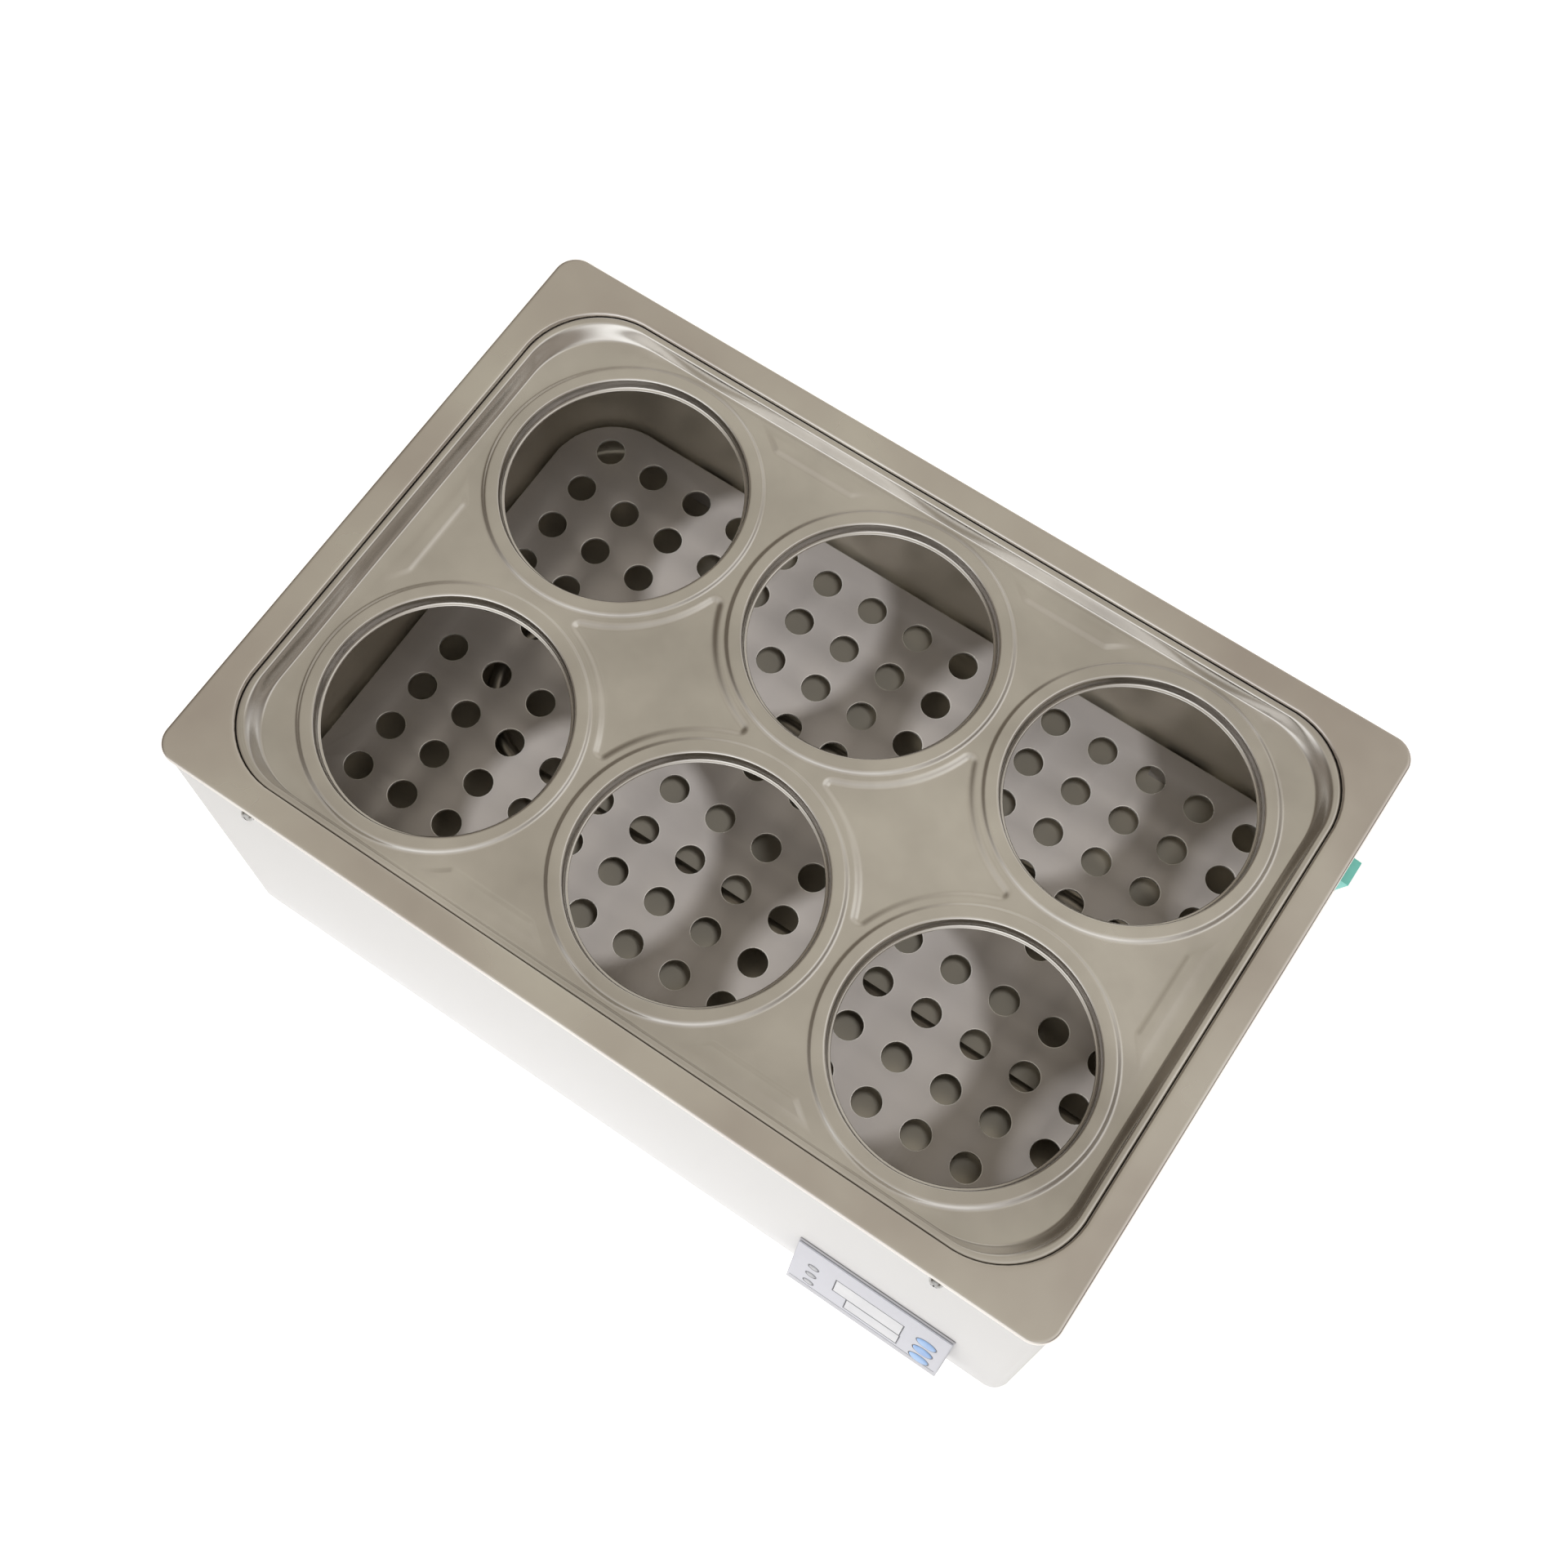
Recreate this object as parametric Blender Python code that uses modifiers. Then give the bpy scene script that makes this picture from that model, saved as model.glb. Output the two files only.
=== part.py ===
"""Six-hole thermostatic water bath, in metres: +Z up, +X along its length, -Y at the control panel."""

import math

import bmesh
import bpy
from mathutils import Matrix, Vector

# Fits and facets
FIT = 0.0003
CUT_REACH = 0.005
WELD = 1e-6
SPIN_MERGE = 1e-5
SHARP_ANGLE = math.radians(35)
CORNER_STEPS = 6
ROUND_SIDES = 24
HOLE_SIDES = 28
BORE_SIDES = 12
PILLAR_SIDES = 8
HEX_SIDES = 6
SHELF_HOLE_SIDES = 6

# Housing, deck and feet
DECK_LENGTH = 0.495
DECK_WIDTH = 0.334
DECK_CORNER = 0.012
DECK_SHEET = 0.0010
DECK_LIP_WALL = 0.0012
DECK_LIP_DROP = 0.0025
SKIRT_DROP = 0.016
OPENING_LIP_DROP = 0.0030
OPENING_END_MARGIN = 0.0145
OPENING_SIDE_MARGIN = 0.0140
OPENING_LENGTH = DECK_LENGTH - 2 * OPENING_END_MARGIN
OPENING_WIDTH = DECK_WIDTH - 2 * OPENING_SIDE_MARGIN
OPENING_CORNER = 0.045
BODY_HEIGHT = 0.210
HOUSING_SHEET = 0.0012
HOUSING_FLANGE = 0.026
BASE_SHEET = 0.0012
FOOT_HEIGHT = 0.008
FOOT_TOP_RADIUS = 0.0100
FOOT_BOTTOM_RADIUS = 0.0085
FOOT_INSET = 0.016
FOOT_POCKET_RADIUS = 0.0048
FOOT_POCKET_DEPTH = 0.0045

# Fasteners
DECK_SCREW_INSET = 0.056
DECK_SCREW_SPAN = DECK_LENGTH - 2 * DECK_SCREW_INSET
DECK_SCREW_DEPTH = 0.0085
DECK_SCREW_RADIUS = 0.0016
DECK_SCREW_LENGTH = 0.0065
DECK_SCREW_HEAD_RADIUS = 0.0036
DECK_SCREW_HEAD_HEIGHT = 0.0030
DECK_SCREW_RIM = 0.0008
FOOT_SCREW_RADIUS = 0.0018
FOOT_SCREW_HEAD_RADIUS = 0.0042
FOOT_SCREW_HEAD_HEIGHT = 0.0022
FOOT_SCREW_GRIP = 0.0040

# Tank, insulation and perforated shelf
TANK_END_MARGIN = 0.0045
TANK_SIDE_MARGIN = 0.0050
TANK_LENGTH = OPENING_LENGTH - 2 * TANK_END_MARGIN
TANK_WIDTH = OPENING_WIDTH - 2 * TANK_SIDE_MARGIN
TANK_CORNER = 0.040
TANK_DEPTH = 0.128
TANK_SHEET = 0.0010
TANK_FLOOR_FILLET = 0.006
TANK_FLANGE = 0.011
TANK_MOUTH_FLARE = 0.0025
TANK_MOUTH_DEPTH = 0.012
INSULATION_WALL = 0.010
INSULATION_FLOOR = 0.012
INSULATION_TOP_DEPTH = 0.020
WIRING_SLOT_SIDE = 0.006
WIRING_SLOT_HEAD = 0.003
SWITCH_SLOT_SIDE = 0.004
SWITCH_SLOT_DEPTH = 0.030
SHELF_STAND = 0.0275
SHELF_DEPTH = TANK_DEPTH - SHELF_STAND
SHELF_SHEET = 0.0015
SHELF_CLEARANCE = 0.0025
SHELF_HOLE = 0.0155
SHELF_COLUMNS = 15
SHELF_ROWS_EACH_SIDE = 5
SHELF_END_MARGIN = 0.0276
SHELF_SIDE_MARGIN = 0.02255
SHELF_MIDDLE_PITCH = 0.0341
SHELF_PITCH_X = (TANK_LENGTH - 2 * SHELF_END_MARGIN) / (SHELF_COLUMNS - 1)
SHELF_PITCH_Y = (TANK_WIDTH / 2 - SHELF_SIDE_MARGIN - SHELF_MIDDLE_PITCH / 2) / (SHELF_ROWS_EACH_SIDE - 1)
SHELF_LEG_WIDTH = 0.022
SHELF_LEG_INSET = 0.0785
SHELF_LEG_SPAN = TANK_LENGTH - 2 * SHELF_LEG_INSET

# Lid pressing
LID_GAP = 0.0012
LID_SHEET = 0.0010
LID_FLANGE_DEPTH = 0.0020
LID_FLANGE = 0.0024
LID_WALL_RUN = 0.0026
LID_PANEL_DEPTH = 0.0098
LID_COLUMNS = 3
LID_ROWS = 2
LID_END_MARGIN = 0.0125
LID_SIDE_MARGIN = 0.0060
LID_PITCH_X = (OPENING_LENGTH - 2 * LID_END_MARGIN) / LID_COLUMNS
LID_PITCH_Y = (OPENING_WIDTH - 2 * LID_SIDE_MARGIN) / LID_ROWS
LID_WEB = 0.0135
LID_HOLE_RADIUS = min(LID_PITCH_X, LID_PITCH_Y) / 2 - LID_WEB
LID_LEDGE = 0.0012
LID_LEDGE_DEPTH = 0.0153
LID_COLLAR_DEPTH = 0.0085
LID_COLLAR_STEP = 0.0016
LID_COLLAR_FLAT = 0.0057
LID_COLLAR_RAMP = 0.0032
LID_COLLAR_LAP = 0.0010
EMBOSS_RISE = 0.0012
EMBOSS_LONG = 0.078
EMBOSS_SHORT = 0.046
EMBOSS_DEEP = 0.012
EMBOSS_SIDE_MARGIN = 0.0056
EMBOSS_END_MARGIN = 0.0118

# Heater and probe
HEATER_RADIUS = 0.0055
HEATER_DROP = 0.0125
HEATER_LEG_OFFSET = 0.049
HEATER_BEND_INSET = 0.1005
HEATER_BEND_X = HEATER_BEND_INSET - TANK_LENGTH / 2
HEATER_BEND_STEPS = 16
HEATER_TUBE_STEPS = 2
HEATER_STUB = 0.0085
HEATER_NUT_RADIUS = 0.0100
HEATER_NUT_HEIGHT = 0.0050
GASKET_RADIUS = 0.0090
GASKET_HEIGHT = 0.0020
TERMINAL_RADIUS = 0.0018
TERMINAL_LENGTH = 0.0045
PROBE_RADIUS = 0.0030
PROBE_LENGTH = 0.110
PROBE_TIP = 0.002
PROBE_STUB = 0.0085
PROBE_NUT_RADIUS = 0.0065
PROBE_NUT_HEIGHT = 0.0055

# Control console and panel
CONSOLE_INSET = 0.0803
CONSOLE_X = DECK_LENGTH / 2 - CONSOLE_INSET
CONSOLE_WIDTH = 0.0910
CONSOLE_TOP_DEPTH = 0.137
CONSOLE_TOP_PROUD = 0.0012
CONSOLE_BOTTOM_PROUD = 0.0132
CONSOLE_DROP = 0.054
CONSOLE_WALL = 0.0020
CONSOLE_CHEEK = 0.0030
CONSOLE_BASE_DROP = 0.003
CONSOLE_POCKET_DEPTH = 0.030
OVERLAY_SHEET = 0.0008
OVERLAY_MARGIN = 0.0006
OVERLAY_STRIP = 0.0074
WINDOW_SHEET = 0.0026
LOWER_WINDOW_SHIFT = 0.0045
UPPER_WINDOW = (CONSOLE_X, 0.0240, 0.0395, 0.0144)
LOWER_WINDOW = (CONSOLE_X + LOWER_WINDOW_SHIFT, 0.0379, 0.0313, 0.0112)
KEY_SHIFT = 0.0340
KEY_X = CONSOLE_X + KEY_SHIFT
KEY_TOP_RUN = 0.0203
KEY_PITCH = 0.0114
KEY_COUNT = 3
KEY_WIDTH = 0.0112
KEY_HEIGHT = 0.0082
KEY_RISE = 0.0006
KEY_BACK = 0.0018
KEY_TRAVEL = 0.0004
LAMP_SHIFT = 0.0332
LAMP_X = CONSOLE_X - LAMP_SHIFT
LAMP_TOP_RUN = 0.0208
LAMP_PITCH = 0.0105
LAMP_WIDTH = 0.0056
LAMP_HEIGHT = 0.0044
LAMP_RISE = 0.0003
BOARD_SHEET = 0.0016
BOARD_BACK = 0.0062
BOARD_MARGIN = 0.0060
BOARD_PILLAR = 0.0050
SWITCH_SIDE = 0.0060
HOUSING_WINDOW_MARGIN = 0.0050

# Rocker switch on the right-hand side
ROCKER_INSET = 0.0485
ROCKER_Y = DECK_WIDTH / 2 - ROCKER_INSET
ROCKER_DEPTH = 0.065
ROCKER_LENGTH = 0.026
ROCKER_WIDTH = 0.0140
ROCKER_TILT = math.radians(9)
ROCKER_END_RISE = 0.0060
ROCKER_MIDDLE_RISE = 0.0044
ROCKER_HEEL = 0.0010
ROCKER_KEEL = 0.0030
ROCKER_KEEL_HALF = 0.008
ROCKER_PIN_RADIUS = 0.0012
ROCKER_PIN_REACH = 0.0012
BEZEL_WALL = 0.0024
BEZEL_SHEET = 0.0020
BEZEL_BODY_DEPTH = 0.0120
BEZEL_BODY_WALL = 0.0016
BEZEL_BODY_FLOOR = 0.0020
ROCKER_CLEARANCE = 0.0006

# Mains parts on the base plate and the cord gland
MAINS_X = 0.030
MAINS_Y = -0.045
MAINS_LENGTH = 0.120
MAINS_WIDTH = 0.080
MAINS_PILLAR = 0.0060
RELAY_SIZE = (0.030, 0.016, 0.022)
RELAY_SITE = (0.032, 0.020)
TRANSFORMER_SIZE = (0.040, 0.034, 0.032)
TRANSFORMER_SITE = (-0.030, 0.012)
TERMINAL_BLOCK_SIZE = (0.042, 0.014, 0.016)
TERMINAL_BLOCK_SITE = (0.026, -0.024)
GLAND_INSET = 0.0575
GLAND_X = DECK_LENGTH / 2 - GLAND_INSET
GLAND_HEIGHT = 0.040
GLAND_RADIUS = 0.0090
GLAND_BORE = 0.0040
GLAND_REACH = 0.0100
GLAND_NECK_RADIUS = 0.0065
GLAND_TAIL = 0.0100
GLAND_FLANGE = 0.0030

# Derived levels and faces
DECK_TOP = FOOT_HEIGHT + BODY_HEIGHT
HOUSING_LENGTH = DECK_LENGTH - 2 * (DECK_LIP_WALL + FIT)
HOUSING_WIDTH = DECK_WIDTH - 2 * (DECK_LIP_WALL + FIT)
HOUSING_CORNER = DECK_CORNER - DECK_LIP_WALL - FIT
FRONT_FACE = -HOUSING_WIDTH / 2
REAR_FACE = HOUSING_WIDTH / 2
RIGHT_FACE = HOUSING_LENGTH / 2
SKIRT_INSET = DECK_LIP_WALL + FIT + HOUSING_SHEET + FIT
FLOOR_TOP = FOOT_HEIGHT + HOUSING_SHEET + FIT + BASE_SHEET
TANK_FLANGE_DEPTH = OPENING_LIP_DROP + FIT
WATERLINE_X = TANK_LENGTH / 2
PANEL_TILT = math.atan2(CONSOLE_BOTTOM_PROUD - CONSOLE_TOP_PROUD, CONSOLE_DROP)
PANEL_RUN = math.hypot(CONSOLE_BOTTOM_PROUD - CONSOLE_TOP_PROUD, CONSOLE_DROP)
COLLAR_INNER = LID_HOLE_RADIUS + LID_LEDGE
COLLAR_CREST = COLLAR_INNER + LID_COLLAR_STEP
COLLAR_SHOULDER = COLLAR_CREST + LID_COLLAR_FLAT
COLLAR_FOOT = COLLAR_SHOULDER + LID_COLLAR_RAMP


def down(depth):
    """Height of a point this far below the top of the deck."""
    return DECK_TOP - depth


PANEL_TOP = Matrix.Translation((0, FRONT_FACE - CONSOLE_TOP_PROUD, down(CONSOLE_TOP_DEPTH)))
PANEL_PLACE = PANEL_TOP @ Matrix.Rotation(math.pi / 2 - PANEL_TILT, 4, "X")
LENGTHWISE = Matrix(((0, 0, 1, 0), (1, 0, 0, 0), (0, 1, 0, 0), (0, 0, 0, 1)))
SIDE_PLACE = Matrix.Translation((RIGHT_FACE, ROCKER_Y, down(ROCKER_DEPTH))) @ LENGTHWISE
GLAND_ENTRY = Matrix.Translation((GLAND_X, REAR_FACE, GLAND_HEIGHT))
TO_FRONT = Matrix.Rotation(math.pi / 2, 4, "X")
TO_REAR = Matrix.Rotation(-math.pi / 2, 4, "X")
TO_RIGHT = Matrix.Rotation(math.pi / 2, 4, "Y")

for old in list(bpy.data.objects):
    bpy.data.objects.remove(old, do_unlink=True)

bath = bpy.data.collections.new("six_hole_water_bath")
tools = bpy.data.collections.new("cutters")
for group in (bath, tools):
    bpy.context.scene.collection.children.link(group)
tools.hide_render = True
origin = bpy.data.objects.new("assembly_origin", None)
bath.objects.link(origin)


def finish(name, colour, roughness, metallic=0.0):
    material = bpy.data.materials.new(name + "_finish")
    material.use_nodes = True
    shader = material.node_tree.nodes["Principled BSDF"]
    shader.inputs["Base Color"].default_value = (*colour, 1.0)
    shader.inputs["Roughness"].default_value = roughness
    shader.inputs["Metallic"].default_value = metallic
    return material


STEEL = ((0.46, 0.43, 0.37), 0.32, 1.0)
PLATED = ((0.60, 0.60, 0.60), 0.30, 1.0)
BRASS = ((0.70, 0.52, 0.22), 0.35, 1.0)
WHITE_PAINT = ((0.82, 0.82, 0.82), 0.45)
PANEL_GREY = ((0.70, 0.70, 0.77), 0.45)
WINDOW_GREY = ((0.62, 0.62, 0.66), 0.15)
KEY_BLUE = ((0.27, 0.43, 0.72), 0.40)
LAMP_GREY = ((0.55, 0.56, 0.60), 0.25)
SWITCH_GREEN = ((0.18, 0.90, 0.72), 0.25)
BLACK_PLASTIC = ((0.02, 0.02, 0.02), 0.45)
RUBBER = ((0.03, 0.03, 0.03), 0.80)
SILICONE = ((0.55, 0.16, 0.10), 0.70)
WOOL = ((0.68, 0.62, 0.45), 0.95)
BOARD_GREEN = ((0.03, 0.20, 0.08), 0.45)


def part(name, mesh, look, place=None):
    """Adds a sub-part, with its own material, at a place in the assembly."""
    piece = bpy.data.objects.new(name, mesh)
    bath.objects.link(piece)
    mesh.materials.clear()
    mesh.materials.append(finish(name, *look))
    piece.parent = origin
    piece.matrix_local = place or Matrix()
    return piece


def cutter(name, mesh, place=None):
    tool = bpy.data.objects.new(name, mesh)
    tools.objects.link(tool)
    tool.hide_render = True
    tool.display_type = "WIRE"
    tool.parent = origin
    tool.matrix_local = place or Matrix()
    return tool


def combine(piece, tool, operation):
    modifier = piece.modifiers.new(operation.lower() + "_" + tool.name, "BOOLEAN")
    modifier.operation = operation
    modifier.solver = "EXACT"
    modifier.object = tool


def cut(piece, name, mesh, place=None):
    combine(piece, cutter(name, mesh, place), "DIFFERENCE")


def join(piece, name, mesh, place=None):
    combine(piece, cutter(name, mesh, place), "UNION")


def to_mesh(name, bm):
    bmesh.ops.recalc_face_normals(bm, faces=bm.faces)
    mesh = bpy.data.meshes.new(name)
    bm.to_mesh(mesh)
    bm.free()
    return mesh


def rounded(length, width, corner):
    """A rounded rectangle about the origin, anticlockwise from the right-hand end of its front side."""
    points = []
    for quarter, (side_x, side_y) in enumerate(((1, -1), (1, 1), (-1, 1), (-1, -1))):
        centre = Vector((side_x * (length / 2 - corner), side_y * (width / 2 - corner)))
        for step in range(CORNER_STEPS + 1):
            turn = math.pi / 2 * (quarter - 1 + step / CORNER_STEPS)
            points.append(centre + corner * Vector((math.cos(turn), math.sin(turn))))
    return points


def oval(width, height, sides, centre=(0, 0)):
    points = []
    for side in range(sides):
        turn = math.tau * (side + 0.5) / sides
        reach = Vector((width / 2 * math.cos(turn), height / 2 * math.sin(turn)))
        points.append(Vector(centre) + reach)
    return points


def oblong(width, height, centre=(0, 0)):
    x, y = centre
    return [
        Vector((x + side_x * width / 2, y + side_y * height / 2))
        for side_x, side_y in ((-1, -1), (1, -1), (1, 1), (-1, 1))
    ]


def from_curve(name, curve):
    """The surface of a filled or bevelled curve, welded into one closed body."""
    guide = bpy.data.objects.new(name + "_outline", curve)
    tools.objects.link(guide)
    bpy.context.view_layer.update()
    graph = bpy.context.evaluated_depsgraph_get()
    mesh = bpy.data.meshes.new_from_object(guide.evaluated_get(graph))
    bpy.data.objects.remove(guide, do_unlink=True)
    bm = bmesh.new()
    bm.from_mesh(mesh)
    bmesh.ops.remove_doubles(bm, verts=bm.verts, dist=WELD)
    return to_mesh(name, bm)


def plate(name, outlines, bottom, top):
    """A flat plate from a filled 2D curve: the first outline is its edge and the others are holes."""
    curve = bpy.data.curves.new(name, "CURVE")
    curve.dimensions = "2D"
    curve.fill_mode = "BOTH"
    curve.extrude = (top - bottom) / 2
    for outline in outlines:
        spline = curve.splines.new("POLY")
        spline.points.add(len(outline) - 1)
        for point, corner in zip(spline.points, outline):
            point.co = (corner[0], corner[1], 0, 1)
        spline.use_cyclic_u = True
    mesh = from_curve(name, curve)
    mesh.transform(Matrix.Translation((0, 0, (top + bottom) / 2)))
    return mesh


def box(name, low, high):
    bm = bmesh.new()
    size = Vector(high) - Vector(low)
    middle = Matrix.Translation((Vector(high) + Vector(low)) / 2)
    bmesh.ops.create_cube(bm, size=1.0, matrix=middle @ Matrix.Diagonal((*size, 1.0)))
    return to_mesh(name, bm)


def rod(name, radius, bottom, top, sides=ROUND_SIDES, axis=(0, 0)):
    bm = bmesh.new()
    bmesh.ops.create_cone(
        bm,
        cap_ends=True,
        segments=sides,
        radius1=radius,
        radius2=radius,
        depth=top - bottom,
        matrix=Matrix.Translation((*axis, (top + bottom) / 2)),
    )
    return to_mesh(name, bm)


def pressing(name, rings, ends_closed):
    """A sheet pressing lofted through rounded rectangles, each given as length, width, corner and height."""
    bm = bmesh.new()
    loops = []
    for length, width, corner, height in rings:
        loops.append([bm.verts.new((*point, height)) for point in rounded(length, width, corner)])
    pairs = list(zip(loops, loops[1:]))
    if not ends_closed:
        pairs.append((loops[-1], loops[0]))
    for lower, upper in pairs:
        for index in range(len(lower)):
            following = (index + 1) % len(lower)
            bm.faces.new((lower[index], lower[following], upper[following], upper[index]))
    if ends_closed:
        bm.faces.new(loops[0])
        bm.faces.new(loops[-1])
    return to_mesh(name, bm)


def turned(name, profile, look, place, closed=False, sides=ROUND_SIDES):
    """A turned piece: radius and height pairs run from the top down its outer side, about +Z."""
    bm = bmesh.new()
    points = [bm.verts.new((radius, 0, height)) for radius, height in profile]
    for first, second in zip(points, points[1:]):
        bm.edges.new((first, second))
    if closed:
        bm.edges.new((points[-1], points[0]))
    mesh = bpy.data.meshes.new(name)
    bm.to_mesh(mesh)
    bm.free()
    piece = part(name, mesh, look, place)
    spin = piece.modifiers.new("turn", "SCREW")
    spin.axis = "Z"
    spin.steps = sides
    spin.render_steps = sides
    spin.use_merge_vertices = True
    spin.merge_threshold = SPIN_MERGE
    return piece


def hex_nut(name, radius, bore, bottom, top):
    across = oval(2 * radius, 2 * radius, HEX_SIDES)
    return plate(name, [across, oval(2 * bore, 2 * bore, BORE_SIDES)], bottom, top)


def grown(size, margin):
    """A length, width and corner, all moved outwards by a margin."""
    length, width, corner = size
    return length + 2 * margin, width + 2 * margin, corner + margin


DECK = (DECK_LENGTH, DECK_WIDTH, DECK_CORNER)
OPENING = (OPENING_LENGTH, OPENING_WIDTH, OPENING_CORNER)
HOUSING = (HOUSING_LENGTH, HOUSING_WIDTH, HOUSING_CORNER)
HOUSING_INSIDE = grown(HOUSING, -HOUSING_SHEET)
TANK = (TANK_LENGTH, TANK_WIDTH, TANK_CORNER)
TANK_OUTSIDE = grown(TANK, TANK_SHEET)
LID = grown(OPENING, -LID_GAP)
SCREW_SITES = [(side * DECK_SCREW_SPAN / 2, end) for end in (-1, 1) for side in (-1, 1)]
FOOT_SITES = [
    (side * (HOUSING_LENGTH / 2 - FOOT_INSET), end * (HOUSING_WIDTH / 2 - FOOT_INSET))
    for end in (-1, 1)
    for side in (-1, 1)
]


def screw_place(site):
    """Where a deck screw enters the housing wall, its axis pointing out of the wall."""
    x, end = site
    turn = TO_FRONT if end < 0 else TO_REAR
    return Matrix.Translation((x, end * HOUSING_WIDTH / 2, down(DECK_SCREW_DEPTH))) @ turn


def make_housing():
    top = down(DECK_SHEET + FIT)
    flange = grown(HOUSING_INSIDE, -HOUSING_FLANGE)
    flange = (flange[0], flange[1], HOUSING_CORNER)
    shell = part(
        "housing_shell",
        pressing(
            "housing_shell",
            [
                (*HOUSING, FOOT_HEIGHT),
                (*HOUSING, top),
                (*HOUSING_INSIDE, top),
                (*HOUSING_INSIDE, FOOT_HEIGHT + HOUSING_SHEET),
                (*flange, FOOT_HEIGHT + HOUSING_SHEET),
                (*flange, FOOT_HEIGHT),
            ],
            ends_closed=False,
        ),
        WHITE_PAINT,
    )
    for number, site in enumerate(SCREW_SITES, 1):
        name = f"housing_screw_bore_{number}"
        bore = rod(name, DECK_SCREW_RADIUS + FIT, -CUT_REACH, CUT_REACH, BORE_SIDES)
        cut(shell, name, bore, screw_place(site))
    for number, site in enumerate(FOOT_SITES, 1):
        name = f"housing_foot_bore_{number}"
        low = FOOT_HEIGHT - CUT_REACH
        bore = rod(name, FOOT_SCREW_RADIUS + FIT, low, FOOT_HEIGHT + CUT_REACH, BORE_SIDES, site)
        cut(shell, name, bore)
    window_half = CONSOLE_WIDTH / 2 - HOUSING_WINDOW_MARGIN
    window_low = down(CONSOLE_TOP_DEPTH + CONSOLE_DROP - HOUSING_WINDOW_MARGIN)
    window_high = down(CONSOLE_TOP_DEPTH + HOUSING_WINDOW_MARGIN)
    window = box(
        "housing_window",
        (CONSOLE_X - window_half, FRONT_FACE - CUT_REACH, window_low),
        (CONSOLE_X + window_half, FRONT_FACE + CUT_REACH, window_high),
    )
    cut(shell, "housing_window", window)
    socket_margin = 2 * (ROCKER_CLEARANCE + BEZEL_BODY_WALL + FIT)
    socket = oblong(ROCKER_WIDTH + socket_margin, ROCKER_LENGTH + socket_margin)
    slot = plate("housing_switch_slot", [socket], -CUT_REACH, CUT_REACH)
    cut(shell, "housing_switch_slot", slot, SIDE_PLACE)
    gland = rod("housing_gland_bore", GLAND_NECK_RADIUS + FIT, -CUT_REACH, CUT_REACH)
    cut(shell, "housing_gland_bore", gland, GLAND_ENTRY @ TO_REAR)


def make_base():
    size = grown(HOUSING_INSIDE, -FIT)
    bottom = FOOT_HEIGHT + HOUSING_SHEET + FIT
    bore = FOOT_SCREW_RADIUS + FIT
    bores = [oval(2 * bore, 2 * bore, BORE_SIDES, site) for site in FOOT_SITES]
    sheet = plate("base_plate", [rounded(*size), *bores], bottom, bottom + BASE_SHEET)
    part("base_plate", sheet, PLATED)
    for number, site in enumerate(FOOT_SITES, 1):
        place = Matrix.Translation((*site, 0))
        top = FOOT_HEIGHT - FIT
        turned(
            f"foot_{number}",
            [
                (bore, top),
                (FOOT_TOP_RADIUS, top),
                (FOOT_BOTTOM_RADIUS, 0),
                (FOOT_POCKET_RADIUS, 0),
                (FOOT_POCKET_RADIUS, FOOT_POCKET_DEPTH),
                (bore, FOOT_POCKET_DEPTH),
            ],
            RUBBER,
            place,
            closed=True,
            sides=BORE_SIDES,
        )
        seat = FOOT_POCKET_DEPTH - FIT
        turned(
            f"foot_screw_{number}",
            [
                (0, FLOOR_TOP + FOOT_SCREW_GRIP),
                (FOOT_SCREW_RADIUS, FLOOR_TOP + FOOT_SCREW_GRIP),
                (FOOT_SCREW_RADIUS, seat),
                (FOOT_SCREW_HEAD_RADIUS, seat),
                (FOOT_SCREW_HEAD_RADIUS, seat - FOOT_SCREW_HEAD_HEIGHT),
                (0, seat - FOOT_SCREW_HEAD_HEIGHT),
            ],
            PLATED,
            place,
            sides=BORE_SIDES,
        )


def make_deck():
    lip = grown(DECK, -DECK_LIP_WALL)
    skirt = grown(DECK, -SKIRT_INSET)
    skirt_inside = grown(skirt, -HOUSING_SHEET)
    opening_lip = grown(OPENING, DECK_LIP_WALL)
    under = down(DECK_SHEET)
    deck = part(
        "top_deck",
        pressing(
            "top_deck",
            [
                (*DECK, DECK_TOP),
                (*DECK, down(DECK_LIP_DROP)),
                (*lip, down(DECK_LIP_DROP)),
                (*lip, under),
                (*skirt, under),
                (*skirt, down(SKIRT_DROP)),
                (*skirt_inside, down(SKIRT_DROP)),
                (*skirt_inside, under),
                (*opening_lip, under),
                (*opening_lip, down(OPENING_LIP_DROP)),
                (*OPENING, down(OPENING_LIP_DROP)),
                (*OPENING, DECK_TOP),
            ],
            ends_closed=False,
        ),
        STEEL,
    )
    crown = FIT + DECK_SCREW_HEAD_HEIGHT
    for number, site in enumerate(SCREW_SITES, 1):
        name = f"skirt_screw_bore_{number}"
        bore = rod(name, DECK_SCREW_RADIUS + FIT, -CUT_REACH, CUT_REACH, BORE_SIDES)
        cut(deck, name, bore, screw_place(site))
        turned(
            f"deck_screw_{number}",
            [
                (0, crown),
                (DECK_SCREW_HEAD_RADIUS - DECK_SCREW_RIM, crown - DECK_SCREW_RIM / 2),
                (DECK_SCREW_HEAD_RADIUS, crown - 2 * DECK_SCREW_RIM),
                (DECK_SCREW_HEAD_RADIUS, FIT),
                (DECK_SCREW_RADIUS, FIT),
                (DECK_SCREW_RADIUS, -DECK_SCREW_LENGTH),
                (0, -DECK_SCREW_LENGTH),
            ],
            PLATED,
            screw_place(site),
            sides=BORE_SIDES,
        )


def end_wall_place(y, depth):
    """The outside of the tank's right-hand end wall, with +Z pointing away from the tank."""
    return Matrix.Translation((WATERLINE_X + TANK_SHEET, y, down(depth))) @ TO_RIGHT


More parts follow.
